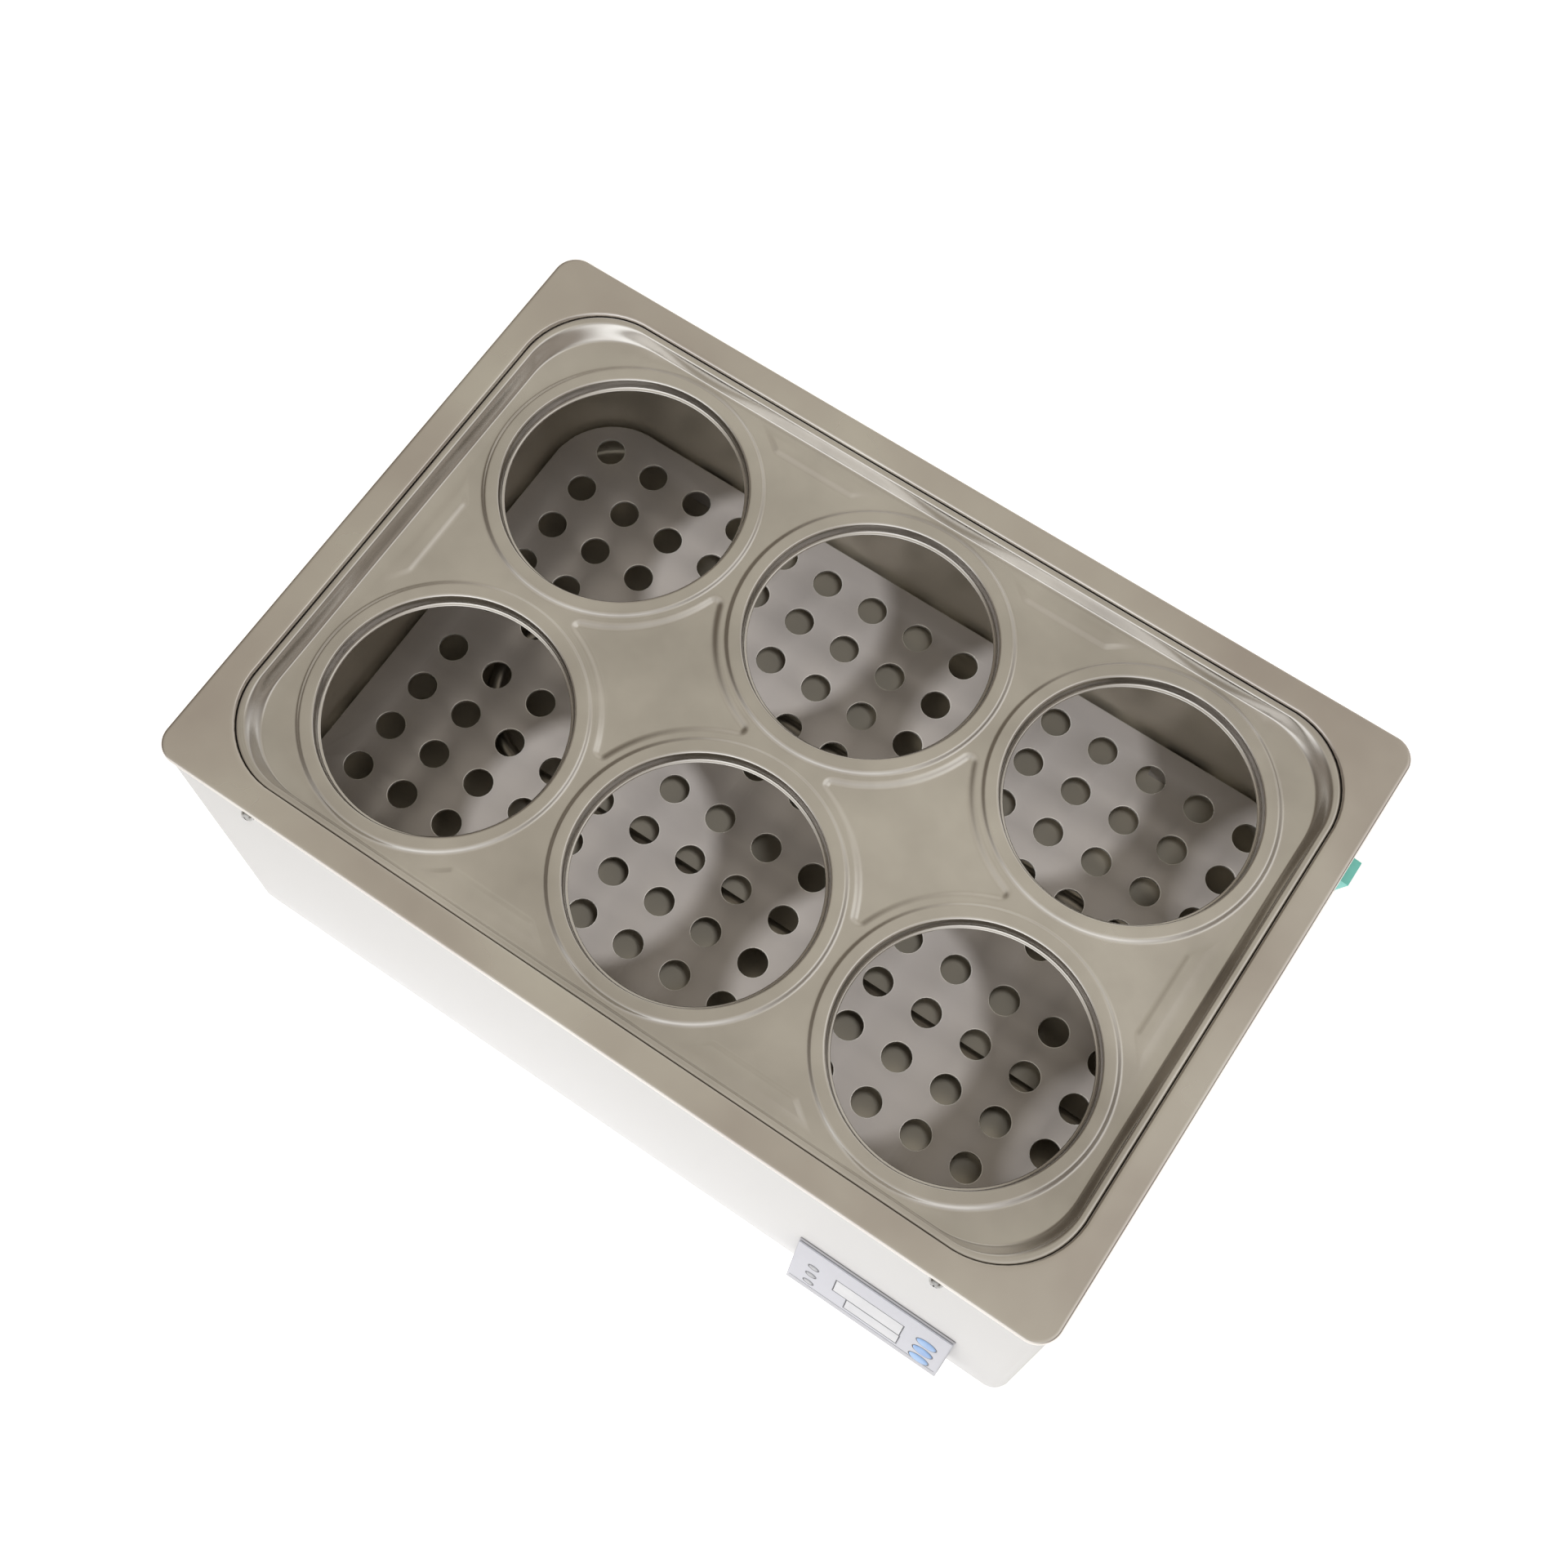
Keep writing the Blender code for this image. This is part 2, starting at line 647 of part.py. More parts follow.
HEATER_DEPTH = SHELF_DEPTH + SHELF_SHEET + HEATER_DROP
HEATER_LEGS = (-HEATER_LEG_OFFSET, HEATER_LEG_OFFSET)


def make_tank():
    flange = grown(TANK, TANK_FLANGE)
    floor = grown(TANK, -TANK_FLOOR_FILLET)
    rim = down(TANK_FLANGE_DEPTH)
    tank = part(
        "inner_tank",
        pressing(
            "inner_tank",
            [
                (*floor, down(TANK_DEPTH)),
                (*TANK, down(TANK_DEPTH - TANK_FLOOR_FILLET)),
                (*TANK, down(TANK_MOUTH_DEPTH)),
                (*grown(TANK, TANK_MOUTH_FLARE), rim),
                (*flange, rim),
                (*flange, rim - TANK_SHEET),
                (*grown(TANK_OUTSIDE, TANK_MOUTH_FLARE), rim - TANK_SHEET),
                (*TANK_OUTSIDE, down(TANK_MOUTH_DEPTH)),
                (*TANK_OUTSIDE, down(TANK_DEPTH - TANK_FLOOR_FILLET)),
                (*floor, down(TANK_DEPTH + TANK_SHEET)),
            ],
            ends_closed=True,
        ),
        STEEL,
    )
    for number, y in enumerate(HEATER_LEGS, 1):
        name = f"tank_heater_bore_{number}"
        bore = rod(name, HEATER_RADIUS + FIT, -CUT_REACH, CUT_REACH, BORE_SIDES)
        cut(tank, name, bore, end_wall_place(y, HEATER_DEPTH))
    bore = rod("tank_probe_bore", PROBE_RADIUS + FIT, -CUT_REACH, CUT_REACH, BORE_SIDES)
    cut(tank, "tank_probe_bore", bore, end_wall_place(0, HEATER_DEPTH))


def make_insulation():
    inside = grown(TANK_OUTSIDE, FIT)
    outside = grown(inside, INSULATION_WALL)
    pocket_floor = down(TANK_DEPTH + TANK_SHEET + FIT)
    top = down(INSULATION_TOP_DEPTH)
    jacket = part(
        "tank_insulation",
        pressing(
            "tank_insulation",
            [
                (*inside, pocket_floor),
                (*inside, top),
                (*outside, top),
                (*outside, pocket_floor - INSULATION_FLOOR),
            ],
            ends_closed=True,
        ),
        WOOL,
    )
    wiring_half = HEATER_LEG_OFFSET + HEATER_NUT_RADIUS + WIRING_SLOT_SIDE
    wiring_rise = HEATER_NUT_RADIUS + WIRING_SLOT_HEAD
    wiring = box(
        "insulation_wiring_slot",
        (WATERLINE_X - CUT_REACH, -wiring_half, down(HEATER_DEPTH) - wiring_rise),
        (WATERLINE_X + INSULATION_WALL + CUT_REACH, wiring_half, down(HEATER_DEPTH) + wiring_rise),
    )
    cut(jacket, "insulation_wiring_slot", wiring)
    margin = 2 * (BEZEL_BODY_WALL + SWITCH_SLOT_SIDE)
    outline = oblong(ROCKER_WIDTH + margin, ROCKER_LENGTH + margin)
    switch = plate("insulation_switch_slot", [outline], -SWITCH_SLOT_DEPTH, CUT_REACH)
    cut(jacket, "insulation_switch_slot", switch, SIDE_PLACE)


def shelf_sites():
    rows = []
    for row in range(SHELF_ROWS_EACH_SIDE):
        reach = SHELF_MIDDLE_PITCH / 2 + row * SHELF_PITCH_Y
        rows += [-reach, reach]
    middle = (SHELF_COLUMNS - 1) / 2
    return [((column - middle) * SHELF_PITCH_X, y) for y in rows for column in range(SHELF_COLUMNS)]


def make_shelf():
    size = grown(TANK, -SHELF_CLEARANCE)
    place = Matrix.Translation((0, 0, down(SHELF_DEPTH)))
    shelf = part("false_bottom", plate("false_bottom", [rounded(*size)], -SHELF_SHEET, 0), STEEL, place)
    punches = bmesh.new()
    for site in shelf_sites():
        bmesh.ops.create_cone(
            punches,
            cap_ends=True,
            segments=SHELF_HOLE_SIDES,
            radius1=SHELF_HOLE / 2,
            radius2=SHELF_HOLE / 2,
            depth=2 * CUT_REACH,
            matrix=Matrix.Translation((*site, 0)),
        )
    cut(shelf, "shelf_holes", to_mesh("shelf_holes", punches), place)
    leg_foot = down(TANK_DEPTH) + FIT
    leg_reach = size[1] / 2 - TANK_FLOOR_FILLET
    for number, (side, end) in enumerate(((-1, -1), (1, -1), (-1, 1), (1, 1)), 1):
        x = side * SHELF_LEG_SPAN / 2
        outer = end * leg_reach
        inner = end * (leg_reach - SHELF_SHEET)
        leg = box(
            f"shelf_leg_{number}",
            (x - SHELF_LEG_WIDTH / 2, min(inner, outer), leg_foot),
            (x + SHELF_LEG_WIDTH / 2, max(inner, outer), down(SHELF_DEPTH + SHELF_SHEET / 2)),
        )
        join(shelf, f"shelf_leg_{number}", leg)


def lid_sites():
    return [
        ((column - (LID_COLUMNS - 1) / 2) * LID_PITCH_X, (row - (LID_ROWS - 1) / 2) * LID_PITCH_Y)
        for row in range(LID_ROWS)
        for column in range(LID_COLUMNS)
    ]


def collar_ring(name):
    """The pressed collar round one hole: a flat crest with a ramp to the panel and a lip turned down inside."""
    crest = LID_PANEL_DEPTH - LID_COLLAR_DEPTH
    ledge = LID_PANEL_DEPTH - LID_LEDGE_DEPTH
    profile = [
        (LID_HOLE_RADIUS, ledge),
        (COLLAR_INNER, ledge),
        (COLLAR_CREST, crest),
        (COLLAR_SHOULDER, crest),
        (COLLAR_FOOT + LID_COLLAR_LAP, -LID_SHEET / 2),
        (COLLAR_SHOULDER, crest - LID_SHEET),
        (COLLAR_CREST + LID_SHEET, crest - LID_SHEET),
        (COLLAR_INNER + LID_SHEET, ledge - LID_SHEET),
        (LID_HOLE_RADIUS, ledge - LID_SHEET),
    ]
    bm = bmesh.new()
    loop = [bm.verts.new((radius, 0, height)) for radius, height in profile]
    edges = [bm.edges.new(pair) for pair in zip(loop, loop[1:] + loop[:1])]
    bmesh.ops.spin(
        bm,
        geom=loop + edges,
        axis=(0, 0, 1),
        cent=(0, 0, 0),
        angle=math.tau,
        steps=HOLE_SIDES,
        use_merge=True,
    )
    bmesh.ops.remove_doubles(bm, verts=bm.verts, dist=WELD)
    return to_mesh(name, bm)


def make_lid():
    flange_inner = grown(LID, -LID_FLANGE)
    panel = grown(flange_inner, -LID_WALL_RUN)
    flange_top = down(LID_FLANGE_DEPTH)
    panel_top = down(LID_PANEL_DEPTH)
    middle = Matrix.Translation((0, 0, panel_top))
    flange_outer_wall = grown(flange_inner, LID_SHEET)
    panel_outer_wall = grown(panel, LID_SHEET / 2)
    mesh = pressing(
        "lid",
        [
            (*panel, panel_top),
            (*flange_inner, flange_top),
            (*LID, flange_top),
            (*LID, flange_top - LID_SHEET),
            (*flange_outer_wall, flange_top - LID_SHEET),
            (*panel_outer_wall, panel_top - LID_SHEET),
        ],
        ends_closed=True,
    )
    mesh.transform(middle.inverted())
    lid = part("lid", mesh, STEEL, middle)
    for number, site in enumerate(lid_sites(), 1):
        place = Matrix.Translation((*site, panel_top))
        name = f"lid_well_{number}"
        well = rod(name, COLLAR_FOOT - LID_COLLAR_LAP, -CUT_REACH, CUT_REACH, HOLE_SIDES)
        cut(lid, name, well, place)
        name = f"lid_collar_{number}"
        join(lid, name, collar_ring(name), place)
    outline = [
        (-EMBOSS_LONG / 2, 0),
        (EMBOSS_LONG / 2, 0),
        (EMBOSS_SHORT / 2, EMBOSS_DEEP),
        (-EMBOSS_SHORT / 2, EMBOSS_DEEP),
    ]
    for number, place in enumerate(emboss_places(panel), 1):
        name = f"lid_relief_{number}"
        join(lid, name, plate(name, [outline], -LID_SHEET / 2, EMBOSS_RISE), middle @ place)


def emboss_places(panel):
    """Places of the raised trapezoids: two along each long side, one at each end, long side to the rim."""
    length, width, _ = panel
    places = []
    for turn in (0, math.pi):
        for x in (-LID_PITCH_X / 2, LID_PITCH_X / 2):
            edge = Matrix.Translation((x, EMBOSS_SIDE_MARGIN - width / 2, 0))
            places.append(Matrix.Rotation(turn, 4, "Z") @ edge)
    for turn in (-math.pi / 2, math.pi / 2):
        edge = Matrix.Translation((0, EMBOSS_END_MARGIN - length / 2, 0))
        places.append(Matrix.Rotation(turn, 4, "Z") @ edge)
    return places


def make_heater():
    centre_z = down(HEATER_DEPTH)
    tip = WATERLINE_X + TANK_SHEET + HEATER_STUB
    points = [Vector((tip, -HEATER_LEG_OFFSET, centre_z))]
    for step in range(HEATER_BEND_STEPS + 1):
        turn = -math.pi / 2 - math.pi * step / HEATER_BEND_STEPS
        bend = Vector((math.cos(turn), math.sin(turn), 0)) * HEATER_LEG_OFFSET
        points.append(Vector((HEATER_BEND_X, 0, centre_z)) + bend)
    points.append(Vector((tip, HEATER_LEG_OFFSET, centre_z)))
    curve = bpy.data.curves.new("heating_element", "CURVE")
    curve.dimensions = "3D"
    curve.bevel_depth = HEATER_RADIUS
    curve.bevel_resolution = HEATER_TUBE_STEPS
    curve.use_fill_caps = True
    spline = curve.splines.new("POLY")
    spline.points.add(len(points) - 1)
    for knot, point in zip(spline.points, points):
        knot.co = (*point, 1)
    part("heating_element", from_curve("heating_element", curve), STEEL)
    bore = HEATER_RADIUS + FIT
    seat = 2 * FIT + GASKET_HEIGHT
    post = HEATER_STUB + FIT
    for number, y in enumerate(HEATER_LEGS, 1):
        place = end_wall_place(y, HEATER_DEPTH)
        turned(
            f"heater_gasket_{number}",
            [
                (bore, FIT + GASKET_HEIGHT),
                (GASKET_RADIUS, FIT + GASKET_HEIGHT),
                (GASKET_RADIUS, FIT),
                (bore, FIT),
            ],
            SILICONE,
            place,
            closed=True,
            sides=BORE_SIDES,
        )
        name = f"heater_nut_{number}"
        part(name, hex_nut(name, HEATER_NUT_RADIUS, bore, seat, seat + HEATER_NUT_HEIGHT), BRASS, place)
        name = f"heater_terminal_{number}"
        pin = rod(name, TERMINAL_RADIUS, post, post + TERMINAL_LENGTH, BORE_SIDES)
        part(name, pin, BRASS, place)


def make_probe():
    place = end_wall_place(0, HEATER_DEPTH)
    turned(
        "temperature_probe",
        [
            (0, PROBE_STUB),
            (PROBE_RADIUS, PROBE_STUB),
            (PROBE_RADIUS, PROBE_TIP - PROBE_LENGTH),
            (PROBE_RADIUS - PROBE_TIP / 2, -PROBE_LENGTH),
            (0, -PROBE_LENGTH),
        ],
        PLATED,
        place,
        sides=BORE_SIDES,
    )
    nut = hex_nut("probe_nut", PROBE_NUT_RADIUS, PROBE_RADIUS + FIT, FIT, FIT + PROBE_NUT_HEIGHT)
    part("probe_nut", nut, BRASS, place)


def key_sites():
    return [(KEY_X, -(KEY_TOP_RUN + KEY_PITCH * number)) for number in range(KEY_COUNT)]


def lamp_sites():
    return [(LAMP_X, -(LAMP_TOP_RUN + LAMP_PITCH * number)) for number in range(KEY_COUNT)]


def window_outline(window, margin=0.0):
    x, run, width, height = window
    return oblong(width + 2 * margin, height + 2 * margin, (x, -run))


def panel_openings(margin):
    """Outlines of the windows, keys and lamps on the sloping face, each grown by a margin."""
    outlines = [window_outline(UPPER_WINDOW, margin), window_outline(LOWER_WINDOW, margin)]
    for site in key_sites():
        outlines.append(oval(KEY_WIDTH + 2 * margin, KEY_HEIGHT + 2 * margin, ROUND_SIDES, site))
    for site in lamp_sites():
        outlines.append(oval(LAMP_WIDTH + 2 * margin, LAMP_HEIGHT + 2 * margin, BORE_SIDES, site))
    return outlines


def make_console():
    back = FRONT_FACE - FIT
    top_z = down(CONSOLE_TOP_DEPTH)
    low_z = top_z - CONSOLE_DROP
    top_y = FRONT_FACE - CONSOLE_TOP_PROUD
    low_y = FRONT_FACE - CONSOLE_BOTTOM_PROUD
    outline = [(top_y, top_z), (back, top_z), (back, low_z - CONSOLE_BASE_DROP), (low_y, low_z)]
    half = CONSOLE_WIDTH / 2
    mesh = plate("console_shell", [outline], CONSOLE_X - half, CONSOLE_X + half)
    console = part("console_shell", mesh, PANEL_GREY, LENGTHWISE)
    pocket_width = CONSOLE_WIDTH - 2 * CONSOLE_CHEEK
    pocket_run = PANEL_RUN - 2 * CONSOLE_CHEEK - CONSOLE_WALL
    pocket_edge = oblong(pocket_width, pocket_run, (CONSOLE_X, -PANEL_RUN / 2))
    pocket = plate("console_pocket", [pocket_edge], -CONSOLE_POCKET_DEPTH, -CONSOLE_WALL)
    cut(console, "console_pocket", pocket, PANEL_PLACE)
    for number, outline in enumerate(panel_openings(FIT), 1):
        name = f"console_opening_{number}"
        cut(console, name, plate(name, [outline], -CUT_REACH, CUT_REACH), PANEL_PLACE)
    edge_bottom = -(PANEL_RUN - OVERLAY_STRIP)
    edge = oblong(
        CONSOLE_WIDTH - 2 * OVERLAY_MARGIN,
        PANEL_RUN - OVERLAY_STRIP - OVERLAY_MARGIN,
        (CONSOLE_X, (edge_bottom - OVERLAY_MARGIN) / 2),
    )
    overlay = plate("control_overlay", [edge, *panel_openings(FIT)], FIT, FIT + OVERLAY_SHEET)
    part("control_overlay", overlay, PANEL_GREY, PANEL_PLACE)


def make_panel_pieces():
    face = FIT + OVERLAY_SHEET
    board_front = -BOARD_BACK
    seat = board_front + FIT
    for level, window in (("upper", UPPER_WINDOW), ("lower", LOWER_WINDOW)):
        edge = [window_outline(window)]
        name = "display_window_" + level
        part(name, plate(name, edge, face - WINDOW_SHEET, face), WINDOW_GREY, PANEL_PLACE)
        name = "display_module_" + level
        module = plate(name, edge, seat, face - WINDOW_SHEET - FIT)
        part(name, module, BLACK_PLASTIC, PANEL_PLACE)
    key_edge = [oval(KEY_WIDTH, KEY_HEIGHT, ROUND_SIDES)]
    switch_edge = [oblong(SWITCH_SIDE, SWITCH_SIDE)]
    switch_top = -KEY_BACK - KEY_TRAVEL - FIT
    for number, site in enumerate(key_sites(), 1):
        place = PANEL_PLACE @ Matrix.Translation((*site, 0))
        name = f"key_{number}"
        part(name, plate(name, key_edge, -KEY_BACK, face + KEY_RISE), KEY_BLUE, place)
        name = f"tact_switch_{number}"
        part(name, plate(name, switch_edge, seat, switch_top), BLACK_PLASTIC, place)
    lamp_edge = [oval(LAMP_WIDTH, LAMP_HEIGHT, BORE_SIDES)]
    for number, site in enumerate(lamp_sites(), 1):
        place = PANEL_PLACE @ Matrix.Translation((*site, 0))
        name = f"status_lamp_{number}"
        part(name, plate(name, lamp_edge, seat, face + LAMP_RISE), LAMP_GREY, place)
    width = CONSOLE_WIDTH - 2 * BOARD_MARGIN
    height = PANEL_RUN - 2 * BOARD_MARGIN
    middle = (CONSOLE_X, -PANEL_RUN / 2)
    edge = [oblong(width, height, middle)]
    sheet = plate("control_board", edge, board_front - BOARD_SHEET, board_front)
    board = part("control_board", sheet, BOARD_GREEN, PANEL_PLACE)
    pillar_low = board_front - BOARD_SHEET / 2
    pillar_top = -CONSOLE_WALL - FIT
    beside_lamps = middle[0] - (width - BOARD_PILLAR) / 2
    beside_keys = (UPPER_WINDOW[0] + UPPER_WINDOW[2] / 2 + KEY_X - KEY_WIDTH / 2) / 2
    reach = (height - BOARD_PILLAR) / 2
    sites = [(x, middle[1] + end * reach) for end in (-1, 1) for x in (beside_lamps, beside_keys)]
    for number, site in enumerate(sites, 1):
        name = f"board_pillar_{number}"
        pillar = rod(name, BOARD_PILLAR / 2, pillar_low, pillar_top, PILLAR_SIDES, site)
        join(board, name, pillar, PANEL_PLACE)


def make_rocker():
    well_width = ROCKER_WIDTH + 2 * ROCKER_CLEARANCE
    well_length = ROCKER_LENGTH + 2 * ROCKER_CLEARANCE
    rim_edge = oblong(well_width + 2 * BEZEL_WALL, well_length + 2 * BEZEL_WALL)
    rim = plate("switch_body", [rim_edge], FIT, FIT + BEZEL_SHEET)
    bezel = part("switch_body", rim, BLACK_PLASTIC, SIDE_PLACE)
    barrel_edge = oblong(well_width + 2 * BEZEL_BODY_WALL, well_length + 2 * BEZEL_BODY_WALL)
    barrel = plate("switch_barrel", [barrel_edge], -BEZEL_BODY_DEPTH, FIT + BEZEL_SHEET / 2)
    join(bezel, "switch_barrel", barrel, SIDE_PLACE)
    well_floor = BEZEL_BODY_FLOOR - BEZEL_BODY_DEPTH
    well = plate("switch_well", [oblong(well_width, well_length)], well_floor, BEZEL_SHEET + CUT_REACH)
    cut(bezel, "switch_well", well, SIDE_PLACE)
    axle = SIDE_PLACE @ Matrix.Rotation(math.pi / 2, 4, "Y")
    reach = ROCKER_WIDTH / 2 + ROCKER_PIN_REACH
    bores = rod("switch_pin_bore", ROCKER_PIN_RADIUS + FIT, -reach - FIT, reach + FIT, BORE_SIDES)
    cut(bezel, "switch_pin_bore", bores, axle)
    outline = [
        (-ROCKER_LENGTH / 2, ROCKER_END_RISE),
        (-ROCKER_LENGTH / 2, ROCKER_HEEL),
        (-ROCKER_KEEL_HALF, -ROCKER_KEEL),
        (ROCKER_KEEL_HALF, -ROCKER_KEEL),
        (ROCKER_LENGTH / 2, ROCKER_HEEL),
        (ROCKER_LENGTH / 2, ROCKER_END_RISE),
        (0, ROCKER_MIDDLE_RISE),
    ]
    mesh = plate("rocker", [outline], -ROCKER_WIDTH / 2, ROCKER_WIDTH / 2)
    mesh.transform(Matrix.Rotation(ROCKER_TILT, 4, "X") @ LENGTHWISE)
    rocker = part("rocker", mesh, SWITCH_GREEN, SIDE_PLACE)
    pin = rod("rocker_pin", ROCKER_PIN_RADIUS, -reach, reach, BORE_SIDES)
    join(rocker, "rocker_pin", pin, axle)


def make_mains():
    bottom = FLOOR_TOP + FIT
    top = bottom + MAINS_PILLAR + BOARD_SHEET
    edge = [oblong(MAINS_LENGTH, MAINS_WIDTH, (MAINS_X, MAINS_Y))]
    board = part("power_board", plate("power_board", edge, top - BOARD_SHEET, top), BOARD_GREEN)
    reach_x = MAINS_LENGTH / 2 - BOARD_PILLAR
    reach_y = MAINS_WIDTH / 2 - BOARD_PILLAR
    sites = [(MAINS_X + side * reach_x, MAINS_Y + end * reach_y) for end in (-1, 1) for side in (-1, 1)]
    for number, site in enumerate(sites, 1):
        name = f"power_pillar_{number}"
        pillar = rod(name, BOARD_PILLAR / 2, bottom, top - BOARD_SHEET / 2, PILLAR_SIDES, site)
        join(board, name, pillar)
    placed = (
        ("relay", RELAY_SIZE, RELAY_SITE, BLACK_PLASTIC),
        ("transformer", TRANSFORMER_SIZE, TRANSFORMER_SITE, PLATED),
        ("terminal_block", TERMINAL_BLOCK_SIZE, TERMINAL_BLOCK_SITE, WHITE_PAINT),
    )
    for name, (length, width, height), (x, y), look in placed:
        centre = Vector((MAINS_X + x, MAINS_Y + y))
        low = (centre[0] - length / 2, centre[1] - width / 2, top + FIT)
        high = (centre[0] + length / 2, centre[1] + width / 2, top + FIT + height)
        part(name, box(name, low, high), look)


def make_gland():
    place = GLAND_ENTRY @ TO_REAR
    turned(
        "cord_gland",
        [
            (GLAND_BORE, FIT + GLAND_REACH),
            (GLAND_NECK_RADIUS, FIT + GLAND_REACH),
            (GLAND_RADIUS, FIT + GLAND_FLANGE),
            (GLAND_RADIUS, FIT),
            (GLAND_NECK_RADIUS, FIT),
            (GLAND_NECK_RADIUS, -GLAND_TAIL),
            (GLAND_BORE, -GLAND_TAIL),
        ],
        BLACK_PLASTIC,
        place,
        closed=True,
        sides=BORE_SIDES,
    )
    lock_top = -HOUSING_SHEET - FIT
    bore = GLAND_NECK_RADIUS + 2 * FIT
    nut = hex_nut("gland_nut", GLAND_RADIUS + FIT, bore, lock_top - GLAND_FLANGE, lock_top)
    part("gland_nut", nut, BLACK_PLASTIC, place)


def centre_on_base():
    """Moves the assembly so that the middle of its box's underside is at the world origin."""
    bpy.context.view_layer.update()
    graph = bpy.context.evaluated_depsgraph_get()
    corners = []
    for piece in bath.objects:
        if piece.type == "MESH":
            shape = piece.evaluated_get(graph)
            corners += [shape.matrix_world @ vertex.co for vertex in shape.data.vertices]
    low = [min(corner[axis] for corner in corners) for axis in range(3)]
    high = [max(corner[axis] for corner in corners) for axis in range(3)]
    origin.location = (-(low[0] + high[0]) / 2, -(low[1] + high[1]) / 2, -low[2])


def shade_round_pieces():
    for piece in bath.objects:
        if piece.type == "MESH":
            piece.data.shade_smooth()
            piece.data.set_sharp_from_angle(angle=SHARP_ANGLE)


make_housing()
make_base()
make_deck()
make_tank()
make_insulation()
make_shelf()
make_lid()
make_heater()
make_probe()
make_console()
make_panel_pieces()
make_rocker()
make_mains()
make_gland()
shade_round_pieces()
centre_on_base()
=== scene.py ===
import math

import bmesh
import bpy
from mathutils import Matrix, Vector


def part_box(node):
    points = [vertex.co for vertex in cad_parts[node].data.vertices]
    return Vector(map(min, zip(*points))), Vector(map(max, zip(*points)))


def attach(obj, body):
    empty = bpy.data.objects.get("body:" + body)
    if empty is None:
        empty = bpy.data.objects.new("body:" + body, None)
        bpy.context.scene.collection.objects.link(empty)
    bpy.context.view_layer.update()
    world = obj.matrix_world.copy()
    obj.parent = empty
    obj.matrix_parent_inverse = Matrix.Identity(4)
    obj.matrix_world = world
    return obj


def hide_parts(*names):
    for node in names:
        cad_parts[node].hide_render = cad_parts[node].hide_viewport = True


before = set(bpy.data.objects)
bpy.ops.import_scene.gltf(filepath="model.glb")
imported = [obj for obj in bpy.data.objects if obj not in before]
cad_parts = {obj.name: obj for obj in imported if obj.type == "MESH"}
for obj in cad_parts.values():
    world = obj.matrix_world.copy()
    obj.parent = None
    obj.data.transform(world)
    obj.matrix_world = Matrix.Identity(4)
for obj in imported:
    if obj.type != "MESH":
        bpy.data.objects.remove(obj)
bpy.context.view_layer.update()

# Housing
# The case is one wrapper of white powder-coated steel sheet with rounded upright corners and a flange
# turned in along the bottom. Its wall is cut away behind the control console and the power switch.
MM = 0.001
WELD = 1e-6
CASE_LOW, CASE_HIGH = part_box("housing_shell")
CENTRE = Vector(((CASE_LOW.x + CASE_HIGH.x) / 2, (CASE_LOW.y + CASE_HIGH.y) / 2, 0))
CASE_LENGTH = CASE_HIGH.x - CASE_LOW.x
CASE_WIDTH = CASE_HIGH.y - CASE_LOW.y
CASE_CORNER = 10.5 * MM
CASE_LEAST_CORNER = 2.0 * MM
CASE_SHEET = 1.2 * MM
CASE_FLANGE = 27.2 * MM
CASE_FOLD = 1.6 * MM
CASE_FOLD_EASE = 0.3 * CASE_FOLD
WINDOW_MARGIN = 5.0 * MM
SOCKET_MARGIN = 2.2 * MM
SQUARE_ON = 0.9
CLOUD_LOW = 0.3
CLOUD_HIGH = 0.7
CLOUD_DETAIL = 5.0
RELIEF_DETAIL = 2.0
RELIEF_STRENGTH = 0.6


def colour_ramp(nodes, stops):
    """A colour ramp node with these stops, each a position and a colour."""
    node = nodes.new("ShaderNodeValToRGB")
    ramp = node.color_ramp.elements
    for index, (position, colour) in ((0, stops[0]), (1, stops[-1])):
        ramp[index].position = position
        ramp[index].color = (*colour, 1)
    for position, colour in stops[1:-1]:
        ramp.new(position).color = (*colour, 1)
    return node


